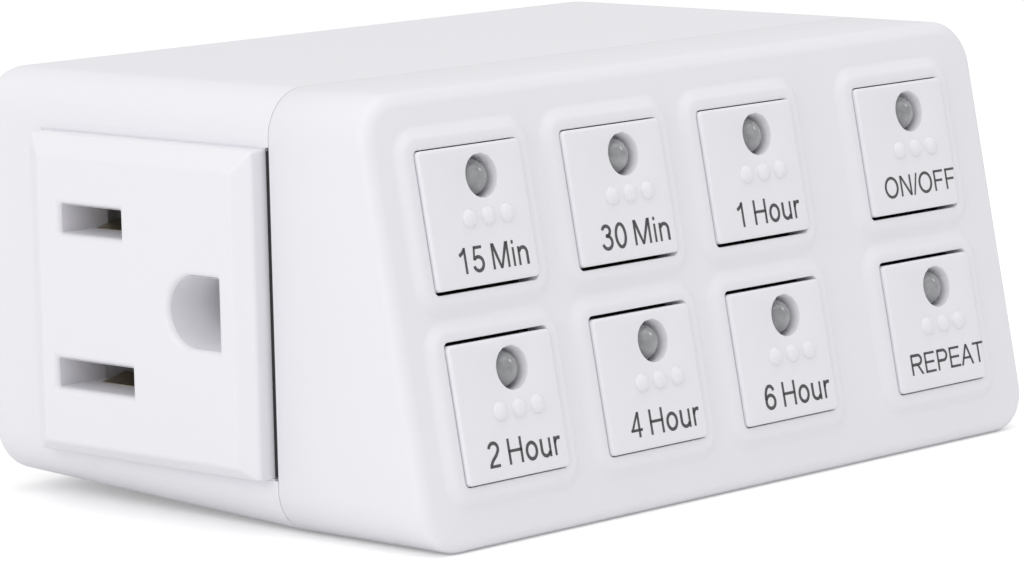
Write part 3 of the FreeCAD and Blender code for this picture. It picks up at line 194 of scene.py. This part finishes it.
def moulded(name, colour, rough, grain=0.12, grain_size=0.16):
    """Moulded plastic: even colour with a faint cloud, spark-eroded grain and a slow surface wave."""
    material, tree, shader = nodes_of(name)
    cloud = noise(tree, CLOUD_SCALE, detail=2.0)
    fine = noise(tree, 1.0 / (grain_size * MM), rough=0.6)
    wave = noise(tree, WAVE_SCALE, detail=1.0)
    colour_along(tree, shader, cloud, shaded(colour, CLOUD_SHADE), colour)
    roughness_along(tree, shader, fine, rough - 0.05, rough + 0.06)
    bump(tree, shader, (wave, WAVE_RELIEF), (fine, (grain, GRAIN_DISTANCE)))
    shader.inputs["IOR"].default_value = 1.5
    shader.inputs["Specular IOR Level"].default_value = 0.42
    return material


def metal(name, colour, rough, streak=(1.0, 40.0, 1.0)):
    """Plated or drawn metal with faint streaks along one axis and light handling marks."""
    material, tree, shader = nodes_of(name)
    lines = noise(tree, STREAK_SCALE, rough=0.5, stretch=streak)
    marks = noise(tree, TARNISH_SCALE)
    colour_along(tree, shader, marks, shaded(colour, TARNISH_SHADE), colour)
    roughness_along(tree, shader, lines, rough - 0.06, rough + 0.1)
    bump(tree, shader, (lines, STREAK_RELIEF))
    shader.inputs["Metallic"].default_value = 1.0
    return material


def mottled(name, colour, scale):
    """Boards, coated parts and wire jackets: base colour broken by fine mottling."""
    material, tree, shader = nodes_of(name)
    mottle = noise(tree, scale, detail=4.0)
    colour_along(tree, shader, mottle, shaded(colour, MOTTLE_SHADE), colour)
    bump(tree, shader, (mottle, MOTTLE_RELIEF))
    shader.inputs["Roughness"].default_value = 0.5
    return material


def lens(name):
    """Grey cast lens: cloudy core, glossy skin."""
    material, tree, shader = nodes_of(name)
    cloud = noise(tree, SMOKE_SCALE, detail=2.0)
    colour_along(tree, shader, cloud, SMOKE_DARK, SMOKE_PALE)
    roughness_along(tree, shader, cloud, 0.06, 0.16)
    shader.inputs["IOR"].default_value = 1.52
    shader.inputs["Coat Weight"].default_value = 0.6
    shader.inputs["Coat Roughness"].default_value = 0.05
    return material


def ink(name):
    """Pad-printed legend: grey ink, a little uneven."""
    material, tree, shader = nodes_of(name)
    blotch = noise(tree, INK_SCALE)
    colour_along(tree, shader, blotch, INK_DARK, INK_PALE)
    bump(tree, shader, (blotch, INK_RELIEF))
    shader.inputs["Roughness"].default_value = 0.55
    return material


CASE = moulded("case_plastic", CASE_WHITE, 0.44)
PLATE = moulded("plate_plastic", PLATE_WHITE, 0.38, grain=0.08)
KEY = moulded("key_plastic", PLATE_WHITE, 0.36, grain=0.07, grain_size=0.12)
DARK = moulded("dark_plastic", NEAR_BLACK, 0.5)
LENS = lens("light_lens")
INK = ink("legend_ink")
BLADES = metal("plated_blades", (0.72, 0.7, 0.66), 0.26, streak=(1.0, 0.05, 1.0))
BRASS = metal("contact_brass", (0.5, 0.44, 0.33), 0.34)
STEEL = metal("screw_steel", (0.55, 0.55, 0.57), 0.35)
BOARD = mottled("board_laminate", (0.05, 0.2, 0.08), 1500.0)

SLOTS = {
    "case": CASE, "outlet": PLATE, "key": KEY, "button": KEY, "lens": LENS, "insulator": DARK,
    "brass": BRASS, "blade_metal": BLADES, "steel": STEEL, "board": BOARD,
    "switch_body": DARK, "component_black": DARK,
    "film_part": mottled("film_case", (0.7, 0.5, 0.06), 800.0),
    "disc_part": mottled("disc_coating", (0.04, 0.1, 0.4), 900.0),
    "wire_black": mottled("wire_black", (0.03, 0.03, 0.03), 700.0),
    "wire_white": mottled("wire_white", (0.75, 0.75, 0.73), 700.0),
    "wire_green": mottled("wire_green", (0.03, 0.3, 0.07), 700.0),
    "ribbon": mottled("ribbon_jacket", (0.4, 0.4, 0.42), 1200.0),
}


def paint(item, material):
    item.data.materials.clear()
    item.data.materials.append(material)


for part in frame["record"]["subparts"]:
    paint(frame["nodes"][part["node"]], SLOTS[part["material_slot"]])


# Mesh building from loops of points

def rounded(half_x, half_y, radius, arc=6, side=8):
    """Points round a rounded rectangle, counter-clockwise from its lower right corner."""
    points = []
    corners = ((1, -1, -90), (1, 1, 0), (-1, 1, 90), (-1, -1, 180))
    for number, (sx, sy, start) in enumerate(corners):
        centre = Vector((sx * (half_x - radius), sy * (half_y - radius)))
        for step in range(arc + 1):
            angle = math.radians(start + 90 * step / arc)
            points.append(centre + Vector((math.cos(angle), math.sin(angle))) * radius)
        nx, ny, nstart = corners[(number + 1) % 4]
        after = Vector((nx * (half_x - radius), ny * (half_y - radius)))
        begin = math.radians(nstart)
        target = after + Vector((math.cos(begin), math.sin(begin))) * radius
        last = points[-1]
        for step in range(1, side):
            points.append(last.lerp(target, step / side))
    return points


def circle_points(centre, radius, like):
    """Points on a circle at the bearings that another loop has from the same centre."""
    bearings = [math.atan2(p[1] - centre[1], p[0] - centre[0]) for p in like]
    return [Vector((centre[0] + radius * math.cos(bearing), centre[1] + radius * math.sin(bearing)))
            for bearing in bearings]


def level_loop(mesh, points, height):
    """One loop of vertices, all at a height."""
    return [mesh.verts.new((p[0], p[1], height)) for p in points]


def bridge(mesh, first, second):
    """Smooth faces between two loops of as many vertices."""
    count = len(first)
    for i in range(count):
        face = mesh.faces.new((first[i], first[(i + 1) % count], second[(i + 1) % count], second[i]))
        face.smooth = True


def turned(mesh, centre, profile, tip, turns):
    """Form turned about an upright axis: open at its foot, through (radius, height) pairs, up to a tip."""
    rings = [[mesh.verts.new((centre[0] + radius * math.cos(2 * math.pi * turn / turns),
                              centre[1] + radius * math.sin(2 * math.pi * turn / turns), height))
              for turn in range(turns)] for radius, height in profile]
    for first, second in zip(rings, rings[1:]):
        bridge(mesh, first, second)
    crown = mesh.verts.new((centre[0], centre[1], tip))
    for i in range(turns):
        face = mesh.faces.new((rings[-1][i], rings[-1][(i + 1) % turns], crown))
        face.smooth = True


def finish_mesh(name, mesh, material, place=None, sharp=32.0):
    """Object from a mesh drawn in millimetres; edges over the sharp angle stay crisp."""
    bmesh.ops.recalc_face_normals(mesh, faces=mesh.faces)
    data = bpy.data.meshes.new(name)
    mesh.to_mesh(data)
    mesh.free()
    data.transform(Matrix.Scale(MM, 4))
    if place is not None:
        data.transform(place)
    data.materials.append(material)
    data.set_sharp_from_angle(angle=math.radians(sharp))
    item = bpy.data.objects.new(name, data)
    bpy.context.scene.collection.objects.link(item)
    return item


# Keys

KEY_BEVEL = 0.3
BEVEL_FLATTENING = 0.8
BEVEL_START = 1.6
BEVEL_STEPS = 5
LEAST_CORNER = 0.3
# How far outside the light's hole, and how high over the key's top
HOLE_EDGE = ((0.16, 0.0), (0.05, -0.04), (0.0, -0.15))
HOLE_FLOOR = -1.2
DOT_PITCH = 2.1
DOT_UP = -0.18
DOT_RADIUS = 0.76
DOT_HEIGHT = 0.42
DOT_SINK = 0.02
DOT_RINGS, DOT_TURNS = 5, 24


def key_cap(name, column, row):
    """Cap with a rolled edge, a hole for its light and three domed dots."""
    mesh = bmesh.new()
    half_x, half_y = KEY_WIDTH / 2, KEY_HEIGHT / 2
    skirt = rounded(half_x, half_y, KEY_CORNER)
    loops = [level_loop(mesh, skirt, KEY_FOOT), level_loop(mesh, skirt, KEY_TOP - BEVEL_START * KEY_BEVEL)]
    outline = None
    for step in range(BEVEL_STEPS + 1):
        angle = math.pi / 2 * step / BEVEL_STEPS
        inset = KEY_BEVEL * (1 - math.cos(angle))
        drop = KEY_BEVEL * BEVEL_FLATTENING * (1 - math.sin(angle))
        outline = rounded(half_x - inset, half_y - inset, max(KEY_CORNER - inset, LEAST_CORNER))
        loops.append(level_loop(mesh, outline, KEY_TOP - drop))
    edge = [(HOLE_RADIUS + margin, KEY_TOP + height) for margin, height in HOLE_EDGE]
    for radius, height in edge + [(HOLE_RADIUS, HOLE_FLOOR)]:
        loops.append(level_loop(mesh, circle_points((LIGHT_X, LIGHT_Y), radius, outline), height))
    for first, second in zip(loops, loops[1:]):
        bridge(mesh, first, second)
    for shift in (-DOT_PITCH, 0.0, DOT_PITCH):
        dot(mesh, LIGHT_X + shift, DOT_UP)
    cap = finish_mesh("cap_" + name, mesh, KEY, face_matrix(COLUMNS[column], ROWS[row]))
    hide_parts("key_" + name)
    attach(cap, "key_" + name)


def dot(mesh, across, up):
    """Low dome on a key."""
    foot = KEY_TOP - DOT_SINK
    angles = [math.pi / 2 * step / DOT_RINGS for step in range(DOT_RINGS)]
    profile = [(DOT_RADIUS * math.cos(angle), foot + DOT_HEIGHT * math.sin(angle)) for angle in angles]
    turned(mesh, (across, up), profile, foot + DOT_HEIGHT, DOT_TURNS)


# Printed words: plain upright strokes, in shares of a capital's height

STROKE = 0.14
ARC_STEP = 9.0
LEAST_ARC_STEPS = 4
CLOSED_GAP = 1e-6
LEGEND_CAP, LEGEND_UP = 2.06, -3.42
CAPITALS_CAP, CAPITALS_UP = 1.78, -3.25
LEGEND_ACROSS = 0.8
INK_THICKNESS = 0.012


def bow(centre, reach, start, end):
    """Points along part of an ellipse, from one bearing to another in degrees."""
    count = max(LEAST_ARC_STEPS, int(abs(end - start) / ARC_STEP))
    return [(centre[0] + reach[0] * math.cos(math.radians(start + (end - start) * i / count)),
             centre[1] + reach[1] * math.sin(math.radians(start + (end - start) * i / count)))
            for i in range(count + 1)]


def bar(left, low, right, high):
    """Upright rectangle."""
    return ("area", [(left, low), (right, low), (right, high), (left, high)])


def slant(top_left, top_right, low_right, low_left, low=0.0, high=1.0):
    """Leaning stroke with level ends."""
    return ("area", [(low_left, low), (low_right, low), (top_right, high), (top_left, high)])


def line(*points):
    """Stroke of even width through points and bows."""
    return ("line", [point for part in points for point in (part if isinstance(part, list) else [part])])


# Letter, the pen's advance and the strokes
GLYPHS = {
    " ": (0.27, []),
    "0": (0.774, [line(bow((0.387, 0.49), (0.265, 0.45), 90, 450))]),
    "1": (0.774, [bar(0.385, 0.0, 0.508, 1.0),
                  line((0.455, 0.965), (0.36, 0.84), (0.25, 0.765), (0.145, 0.715))]),
    "2": (0.774, [line(bow((0.385, 0.715), (0.245, 0.225), 172, -28),
                       (0.50, 0.47), (0.27, 0.27), (0.15, 0.10)),
                  bar(0.085, 0.0, 0.66, 0.115)]),
    "3": (0.774, [line(bow((0.37, 0.745), (0.215, 0.195), 165, -85), (0.31, 0.548)),
                  line(bow((0.37, 0.295), (0.262, 0.25), 88, -168))]),
    "4": (0.774, [bar(0.455, 0.0, 0.575, 1.0), bar(0.04, 0.235, 0.70, 0.345),
                  slant(0.455, 0.575, 0.17, 0.04, 0.27, 1.0)]),
    "5": (0.774, [bar(0.175, 0.885, 0.64, 1.0), slant(0.175, 0.285, 0.205, 0.10, 0.475, 1.0),
                  line((0.15, 0.50), bow((0.37, 0.315), (0.268, 0.265), 118, -165))]),
    "6": (0.774, [line(bow((0.388, 0.315), (0.262, 0.262), 180, -180)),
                  line(bow((0.40, 0.47), (0.274, 0.475), 190, 92),
                       (0.50, 0.925), (0.585, 0.845), (0.63, 0.745))]),
    "/": (0.387, [slant(0.278, 0.388, 0.108, -0.002, -0.02, 1.02)]),
    "A": (0.929, [slant(0.395, 0.535, 0.135, 0.0), slant(0.395, 0.535, 0.93, 0.795),
                  bar(0.19, 0.29, 0.74, 0.4)]),
    "E": (0.929, [bar(0.11, 0.0, 0.235, 1.0), bar(0.11, 0.885, 0.86, 1.0), bar(0.11, 0.455, 0.815, 0.57),
                  bar(0.11, 0.0, 0.88, 0.115)]),
    "F": (0.851, [bar(0.11, 0.0, 0.235, 1.0), bar(0.11, 0.885, 0.80, 1.0),
                  bar(0.11, 0.44, 0.715, 0.555)]),
    "H": (1.006, [bar(0.11, 0.0, 0.235, 1.0), bar(0.77, 0.0, 0.895, 1.0),
                  bar(0.11, 0.455, 0.895, 0.57)]),
    "M": (1.160, [bar(0.105, 0.0, 0.225, 1.0), bar(0.935, 0.0, 1.055, 1.0),
                  slant(0.105, 0.27, 0.64, 0.52), slant(0.89, 1.055, 0.64, 0.52)]),
    "N": (1.006, [bar(0.105, 0.0, 0.228, 1.0), bar(0.775, 0.0, 0.898, 1.0),
                  slant(0.105, 0.25, 0.898, 0.753)]),
    "O": (1.084, [line(bow((0.542, 0.5), (0.425, 0.46), 90, 450))]),
    "P": (0.929, [bar(0.11, 0.0, 0.235, 1.0),
                  line((0.17, 0.942), (0.56, 0.942),
                       bow((0.58, 0.70), (0.245, 0.242), 84, -84), (0.17, 0.458))]),
    "R": (1.006, [bar(0.11, 0.0, 0.235, 1.0), slant(0.50, 0.64, 0.97, 0.82, 0.0, 0.49),
                  line((0.17, 0.942), (0.62, 0.942),
                       bow((0.64, 0.72), (0.232, 0.222), 84, -84), (0.17, 0.498))]),
    "T": (0.851, [bar(0.03, 0.885, 0.82, 1.0), bar(0.363, 0.0, 0.488, 1.0)]),
    "i": (0.309, [bar(0.095, 0.0, 0.212, 0.728), bar(0.095, 0.865, 0.212, 1.0)]),
    "n": (0.774, [bar(0.09, 0.0, 0.208, 0.728),
                  line(bow((0.385, 0.44), (0.222, 0.232), 160, 0), (0.607, 0.0))]),
    "o": (0.774, [line(bow((0.387, 0.364), (0.268, 0.313), 90, 450))]),
    "r": (0.464, [bar(0.09, 0.0, 0.208, 0.728),
                  line((0.15, 0.45), (0.175, 0.56), (0.25, 0.64), (0.34, 0.667), (0.45, 0.65))]),
    "u": (0.774, [bar(0.565, 0.0, 0.683, 0.728),
                  line((0.165, 0.728), bow((0.387, 0.288), (0.222, 0.232), 180, 340))]),
}


def outline_of(kind, points):
    """Closed areas for one stroke: the area itself, or a band laid along a line."""
    if kind == "area":
        return [points]
    sides = []
    for number, point in enumerate(points):
        before = points[max(number - 1, 0)]
        after = points[min(number + 1, len(points) - 1)]
        if number in (0, len(points) - 1) and math.dist(points[0], points[-1]) < CLOSED_GAP:
            before, after = points[-2], points[1]
        run = Vector((after[0] - before[0], after[1] - before[1])).normalized()
        aside = Vector((-run.y, run.x)) * STROKE / 2
        sides.append((Vector(point) + aside, Vector(point) - aside))
    return [[a[0], a[1], b[1], b[0]] for a, b in zip(sides, sides[1:])]


def legend(name, column, row, text, width):
    """Printed words on a key, fitted to their width and capital height."""
    areas = []
    pen = 0.0
    cap, rise = (CAPITALS_CAP, CAPITALS_UP) if text.isupper() else (LEGEND_CAP, LEGEND_UP)
    for letter in text:
        advance, strokes = GLYPHS[letter]
        for kind, points in strokes:
            areas += [[(p[0] + pen, p[1]) for p in area] for area in outline_of(kind, points)]
        pen += advance
    left = min(p[0] for area in areas for p in area)
    right = max(p[0] for area in areas for p in area)
    mesh = bmesh.new()
    for area in areas:
        corners = [mesh.verts.new((LEGEND_ACROSS + ((p[0] - left) / (right - left) - 0.5) * width,
                                   rise + (p[1] - 0.5) * cap, KEY_TOP + INK_THICKNESS))
                   for p in area]
        mesh.faces.new(corners)
    words = finish_mesh("legend_" + name, mesh, INK, face_matrix(COLUMNS[column], ROWS[row]))
    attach(words, "key_" + name)


# Key lights

LENS_RADIUS = 1.52
LENS_TIP = KEY_TOP - 0.06
LENS_DOME = 1.55
LENS_RINGS, LENS_TURNS = 10, 40
FLANGE_MARGIN = 0.25
FLANGE_FOOT, FLANGE_TOP, LENS_FOOT = -4.15, -3.2, -3.1
LEAD_SIZE = (0.5, 0.5, 4.0)
LEAD_ASIDE = 0.75
LEAD_MIDDLE = -6.15


def key_light(name, column, row):
    """Domed lens standing in its key's hole, with a flange and two leads under it."""
    mesh = bmesh.new()
    flange = LENS_RADIUS + FLANGE_MARGIN
    profile = [(flange, FLANGE_FOOT), (flange, FLANGE_TOP), (LENS_RADIUS, LENS_FOOT)]
    profile += [(LENS_RADIUS * math.cos(a), LENS_TIP - LENS_DOME + LENS_DOME * math.sin(a))
                for a in (math.pi / 2 * step / LENS_RINGS for step in range(LENS_RINGS))]
    turned(mesh, (0, 0), profile, LENS_TIP, LENS_TURNS)
    for aside in (-LEAD_ASIDE, LEAD_ASIDE):
        lead = bmesh.ops.create_cube(mesh, size=1.0)["verts"]
        bmesh.ops.scale(mesh, vec=LEAD_SIZE, verts=lead)
        bmesh.ops.translate(mesh, vec=(aside, 0, LEAD_MIDDLE), verts=lead)
    place = face_matrix(COLUMNS[column] + LIGHT_X, ROWS[row] + LIGHT_Y)
    item = finish_mesh("lens_" + name, mesh, LENS, place)
    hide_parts("light_" + name)
    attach(item, "housing")


# Front cover: one skin from the openings over the pads, the face edge and the walls to the parting line

FACE_EDGE = 1.15
FACE_EDGE_STEPS = 6
RIM_EDGE = 0.1
RIM_CLEARANCE = 0.03
RIM_REACH = 6.0
COVER_SHARP = 34.0
# How far outside the key opening, and how high over the face
OPENING_EDGE = ((0.0, -1.6), (0.0, PAD_HEIGHT - 0.1), (0.03, PAD_HEIGHT - 0.03), (0.1, PAD_HEIGHT))
SHOULDER_START = 0.85
SHOULDER_WIDTH = 1.2
SHOULDER_CORNER = 1.3
SHOULDER_STEPS = 9


def front_cover():
    """Outer skin of the front shell, with the first millimetres of its inside behind the parting line."""
    mesh = bmesh.new()
    flat = [pad(mesh, across, up, row == 0) for across in COLUMNS for row, up in enumerate(ROWS)]
    outline = None
    for step in range(FACE_EDGE_STEPS + 1):
        angle = math.pi / 2 * step / FACE_EDGE_STEPS
        inset = FACE_EDGE * (1 - math.sin(angle))
        push = FACE_EDGE * (1 - math.cos(angle))
        loop = edge_loop(mesh, inset, FACE_DEPTH, math.tan(LEAN), push)
        if outline:
            bridge(mesh, outline, loop)
        else:
            flat.append(loop)
        outline = loop
    rim = ((0.0, RIM_EDGE), (RIM_EDGE * 0.3, RIM_EDGE * 0.35), (RIM_EDGE, RIM_CLEARANCE),
           (WALL, RIM_CLEARANCE), (WALL, RIM_REACH))
    for inset, reach in rim:
        loop = edge_loop(mesh, inset, BACK_DEPTH + reach)
        bridge(mesh, outline, loop)
        outline = loop
    edges = [mesh.edges.get(pair) for loop in flat for pair in zip(loop, loop[1:] + loop[:1])]
    outward = Vector((0, -math.cos(LEAN), math.sin(LEAN)))
    made = bmesh.ops.triangle_fill(mesh, edges=edges, use_beauty=True, use_dissolve=False, normal=outward)
    for item in made["geom"]:
        if isinstance(item, bmesh.types.BMFace):
            item.smooth = True
    cover = finish_mesh("front_cover", mesh, CASE, sharp=COVER_SHARP)
    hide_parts("front_shell")
    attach(cover, "housing")


def edge_loop(mesh, inset, depth, lean=0.0, push=0.0):
    """Loop of the case outline, drawn in by an inset, at a depth that may lean with the height."""
    points = rounded(HALF_LENGTH - inset, HALF_HEIGHT - inset, CORNER - inset, arc=10, side=12)
    return [mesh.verts.new((p[0], -depth + p[1] * lean + push, p[1])) for p in points]


def pad(mesh, across, up, upper):
    """Raised pad with soft shoulders round a key opening; gives back the loop where it meets the face."""
    metres = face_matrix(across, up)
    place = Matrix.Translation(metres.to_translation() / MM) @ metres.to_3x3().to_4x4()
    low, high = (FREE_GAP, SIDE_GAP) if upper else (SIDE_GAP, FREE_GAP)
    shift = (high - low) / 2
    half_x = KEY_WIDTH / 2 + SIDE_GAP
    half_y = (KEY_HEIGHT + low + high) / 2
    levels = [(half_x + margin, half_y + margin, shift, KEY_CORNER + SIDE_GAP, height)
              for margin, height in OPENING_EDGE]
    for step in range(SHOULDER_STEPS + 1):
        share = step / SHOULDER_STEPS
        reach = SHOULDER_START + SHOULDER_WIDTH * share
        fall = share * share * (3 - 2 * share)
        levels.append((KEY_WIDTH / 2 + reach, KEY_HEIGHT / 2 + reach, 0.0,
                       SHOULDER_CORNER + SHOULDER_WIDTH * share, PAD_HEIGHT * (1 - fall)))
    last = None
    for half_w, half_h, lift, radius, height in levels:
        loop = [mesh.verts.new(place @ Vector((p[0], p[1] + lift, height)))
                for p in rounded(half_w, half_h, radius, arc=8, side=6)]
        if last:
            bridge(mesh, last, loop)
        last = loop
    return last


for key_name, key_column, key_row, words, words_width in KEYS:
    key_cap(key_name, key_column, key_row)
    legend(key_name, key_column, key_row, words, words_width)
    key_light(key_name, key_column, key_row)
front_cover()


# Small edge rounding on carried-over pieces

WELD_REACH = 0.002
FLAT_ANGLE = 0.6
EDGE_ANGLE = 28.0
EDGE_SEGMENTS = 3


def soften(node, width):
    """Rolled edges of a width, on a node whose flat faces are first made whole."""
    item = frame["nodes"][node]
    merge = item.modifiers.new("merge", "WELD")
    merge.merge_threshold = WELD_REACH * MM
    flat = item.modifiers.new("flat", "DECIMATE")
    flat.decimate_type = "DISSOLVE"
    flat.angle_limit = math.radians(FLAT_ANGLE)
    edge = item.modifiers.new("edge", "BEVEL")
    edge.width = width * MM
    edge.segments = EDGE_SEGMENTS
    edge.limit_method = "ANGLE"
    edge.angle_limit = math.radians(EDGE_ANGLE)
    edge.harden_normals = True


for softened_node, softened_width in (("outlet_face", 0.22), ("line_blade", 0.12), ("neutral_blade", 0.12)):
    soften(softened_node, softened_width)


# Socket: linings behind its holes, a white band in the joint round its plate, and a dark strip of painted
# shade in the gap at the front shell

PLATE_X = -40.17
SLOT_Y = -16.4
SLOT_HEIGHT = 2.4
SLOT_END = 5.4
BLADE_HOLES = (("line_tunnel", 6.35, 7.3), ("neutral_tunnel", -6.35, 9.1))
GROUND_Y = -28.3
TUNNEL_WALL = 0.03
TUNNEL_INSET = 0.04
TUNNEL_START = 0.42
# Radius, how far off the flat side stands (0 where the lining is round), and depth
GROUND_STAGES = ((2.9 - TUNNEL_INSET, 2.95 - TUNNEL_INSET, TUNNEL_START), (2.75, 2.8, 2.2),
                 (2.36, 0, 3.5), (2.36, 0, 6.5))


def tunnel(name, stages):
    """Thin-walled tube behind a hole, through outlines that each have a depth under the plate's face."""
    mesh = bmesh.new()
    rings = [(points, PLATE_X + depth) for points, depth in stages]
    rings += [(spread(points, TUNNEL_WALL), x) for points, x in reversed(rings)]
    loops = [[mesh.verts.new((x, p[0], p[1])) for p in points] for points, x in rings]
    for number, loop in enumerate(loops):
        bridge(mesh, loop, loops[(number + 1) % len(loops)])
    item = finish_mesh(name, mesh, PLATE)
    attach(item, "housing")


def spread(points, margin):
    """The same outline, wider by a margin on each side of its middle."""
    middle = [(min(p[k] for p in points) + max(p[k] for p in points)) / 2 for k in (0, 1)]
    return [(p[0] + math.copysign(margin, p[0] - middle[0]), p[1] + math.copysign(margin, p[1] - middle[1]))
            for p in points]


def slot_points(up, length):
    """Outline of a blade hole's lining."""
    half = length / 2 - TUNNEL_INSET
    rise = SLOT_HEIGHT / 2 - TUNNEL_INSET
    return [(SLOT_Y - half, up - rise), (SLOT_Y + half, up - rise),
            (SLOT_Y + half, up + rise), (SLOT_Y - half, up + rise)]


def ground_points(radius, flat):
    """Outline of the ground hole's lining: round towards the wall, and square towards the keys if flat."""
    points = []
    for bearing in range(5, 365, 10):
        along, up = math.cos(math.radians(bearing)), math.sin(math.radians(bearing))
        reach = radius
        if along < 0 and flat:
            reach = min(flat / -along, radius / abs(up))
        points.append((GROUND_Y + along * reach, up * reach))
    return points


for tunnel_name, tunnel_up, tunnel_length in BLADE_HOLES:
    mouth = slot_points(tunnel_up, tunnel_length)
    tunnel(tunnel_name, [(mouth, TUNNEL_START), (mouth, SLOT_END)])
tunnel("ground_tunnel", [(ground_points(radius, flat), depth) for radius, flat, depth in GROUND_STAGES])

STRIP_BACK = -36.9
BAND_FACE = -37.44
BAND_FRONT, BAND_BACK = -34.4, -8.2
BAND_SIDE = 13.1
BAND_WIDTH = 0.35
# Dark strip of painted shade in the gap between the socket plate and the front shell
GAP_SHADE_FACE = -37.42
GAP_SHADE_FRONT = -34.43
GAP_SHADE_SIDE = 12.95


def strip(name, corners, face, material):
    """Strip let into the socket end, from (depth, height) corners, with its outer side at face."""
    mesh = bmesh.new()
    near, far = ([mesh.verts.new((x, y, z)) for y, z in corners] for x in (face, STRIP_BACK))
    bridge(mesh, near, far)
    mesh.faces.new(near)
    mesh.faces.new(list(reversed(far)))
    item = finish_mesh(name, mesh, material)
    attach(item, "housing")


def plate_strips():
    """White band along three sides of the socket plate, and a dark strip of painted shade along the side at
    the front shell, standing in for the shadow deep in that gap.
    """
    outer, back = BAND_SIDE + BAND_WIDTH, BAND_BACK + BAND_WIDTH
    strip("plate_band", [(BAND_FRONT, outer), (back, outer), (back, -outer), (BAND_FRONT, -outer),
                         (BAND_FRONT, -BAND_SIDE), (BAND_BACK, -BAND_SIDE), (BAND_BACK, BAND_SIDE),
                         (BAND_FRONT, BAND_SIDE)], BAND_FACE, PLATE)
    # Painted shade: a dark strip laid in the gap at the front shell, where there is only shadow
    strip("plate_gap_painted_shade", [(GAP_SHADE_FRONT, GAP_SHADE_SIDE), (-BACK_DEPTH, GAP_SHADE_SIDE), (-BACK_DEPTH, -GAP_SHADE_SIDE),
                          (GAP_SHADE_FRONT, -GAP_SHADE_SIDE)], GAP_SHADE_FACE, DARK)


plate_strips()
paint(frame["nodes"]["contact_carrier"], PLATE)


# Floor, light and camera, in metres and watts

FLOOR_SIZE = 3.0
FLOOR_DROP = 0.00005
FLOOR_DARK, FLOOR_PALE = (0.93, 0.93, 0.93), (0.95, 0.95, 0.95)
FLOOR_GRAIN = 400.0
FLOOR_LIFT = 0.25
STUDIO_LIGHT = 0.66
WHITE = (1.0, 1.0, 1.0, 1)
LAMP_AIM = (0, -0.02, 0)
# Lamp, place, aim, size and power
LAMPS = (
    ("left_box", (-0.75, -0.15, 0.35), LAMP_AIM, (0.6, 0.6), 1.75),
    ("top_box", (0.0, -0.1, 0.8), LAMP_AIM, (0.9, 0.9), 1.95),
    ("front_box", (0.15, -0.9, 0.3), LAMP_AIM, (0.5, 0.6), 0.05),
    ("glint", (0.54, -0.42, 0.45), (0, -0.045, 0), (0.2, 0.2), 0.35),
)
CAMERA_PLACE = (-0.30467, -0.31490, 0.05777)
CAMERA_TURN = (81.834, 1.308, -46.619)
FOCAL_LENGTH, SENSOR_WIDTH = 175.2, 36.0
CLIP_START = 0.01


def seen_directly(tree):
    """1 for rays that come from the camera or through something clear, and 0 for all others."""
    path = tree.nodes.new("ShaderNodeLightPath")
    either = tree.nodes.new("ShaderNodeMath")
    either.operation = "MAXIMUM"
    link(tree, path.outputs["Is Camera Ray"], either.inputs[0])
    link(tree, path.outputs["Is Transmission Ray"], either.inputs[1])
    return either.outputs[0]


def floor():
    """Pale paper that takes the object's shadow, lifted a little where it is seen directly."""
    data = bpy.data.meshes.new("floor")
    low = cad_box[0][2] - FLOOR_DROP
    corners = ((-1, -1), (1, -1), (1, 1), (-1, 1))
    data.from_pydata([(x * FLOOR_SIZE, y * FLOOR_SIZE, low) for x, y in corners], [], [(0, 1, 2, 3)])
    item = bpy.data.objects.new("floor", data)
    bpy.context.scene.collection.objects.link(item)
    material, tree, shader = nodes_of("floor_paper")
    colour_along(tree, shader, noise(tree, FLOOR_GRAIN), FLOOR_DARK, FLOOR_PALE)
    shader.inputs["Roughness"].default_value = 0.9
    strength = tree.nodes.new("ShaderNodeMath")
    strength.operation = "MULTIPLY"
    strength.inputs[1].default_value = FLOOR_LIFT
    link(tree, seen_directly(tree), strength.inputs[0])
    glow = tree.nodes.new("ShaderNodeEmission")
    link(tree, strength.outputs[0], glow.inputs["Strength"])
    both = tree.nodes.new("ShaderNodeAddShader")
    link(tree, shader.outputs[0], both.inputs[0])
    link(tree, glow.outputs[0], both.inputs[1])
    output = next(node for node in tree.nodes if node.type == "OUTPUT_MATERIAL")
    link(tree, both.outputs[0], output.inputs["Surface"])
    data.materials.append(material)


def world():
    """Even studio light; what is seen directly is plain white."""
    studio = bpy.data.worlds.new("studio")
    bpy.context.scene.world = studio
    studio.use_nodes = True
    tree = studio.node_tree
    tree.nodes.clear()
    mix = tree.nodes.new("ShaderNodeMixShader")
    link(tree, seen_directly(tree), mix.inputs["Fac"])
    for number, strength in enumerate((STUDIO_LIGHT, 1.0)):
        background = tree.nodes.new("ShaderNodeBackground")
        background.inputs["Color"].default_value = WHITE
        background.inputs["Strength"].default_value = strength
        link(tree, background.outputs[0], mix.inputs[1 + number])
    output = tree.nodes.new("ShaderNodeOutputWorld")
    link(tree, mix.outputs[0], output.inputs["Surface"])


def lamp(name, place, aim, size, power):
    """Soft box: a lit rectangle that faces its aim."""
    data = bpy.data.lights.new(name, "AREA")
    data.shape = "RECTANGLE"
    data.size, data.size_y = size
    data.energy = power
    item = bpy.data.objects.new(name, data)
    item.location = place
    item.rotation_euler = (Vector(aim) - Vector(place)).to_track_quat("-Z", "Y").to_euler()
    bpy.context.scene.collection.objects.link(item)


def camera():
    """Long lens at the photograph's viewing angle."""
    data = bpy.data.cameras.new("camera")
    data.sensor_width = SENSOR_WIDTH
    data.lens = FOCAL_LENGTH
    data.clip_start = CLIP_START
    item = bpy.data.objects.new("camera", data)
    item.location = CAMERA_PLACE
    item.rotation_euler = [math.radians(angle) for angle in CAMERA_TURN]
    bpy.context.scene.collection.objects.link(item)
    bpy.context.scene.camera = item


floor()
world()
for lamp_values in LAMPS:
    lamp(*lamp_values)
camera()
bpy.context.scene.view_settings.view_transform = "Standard"
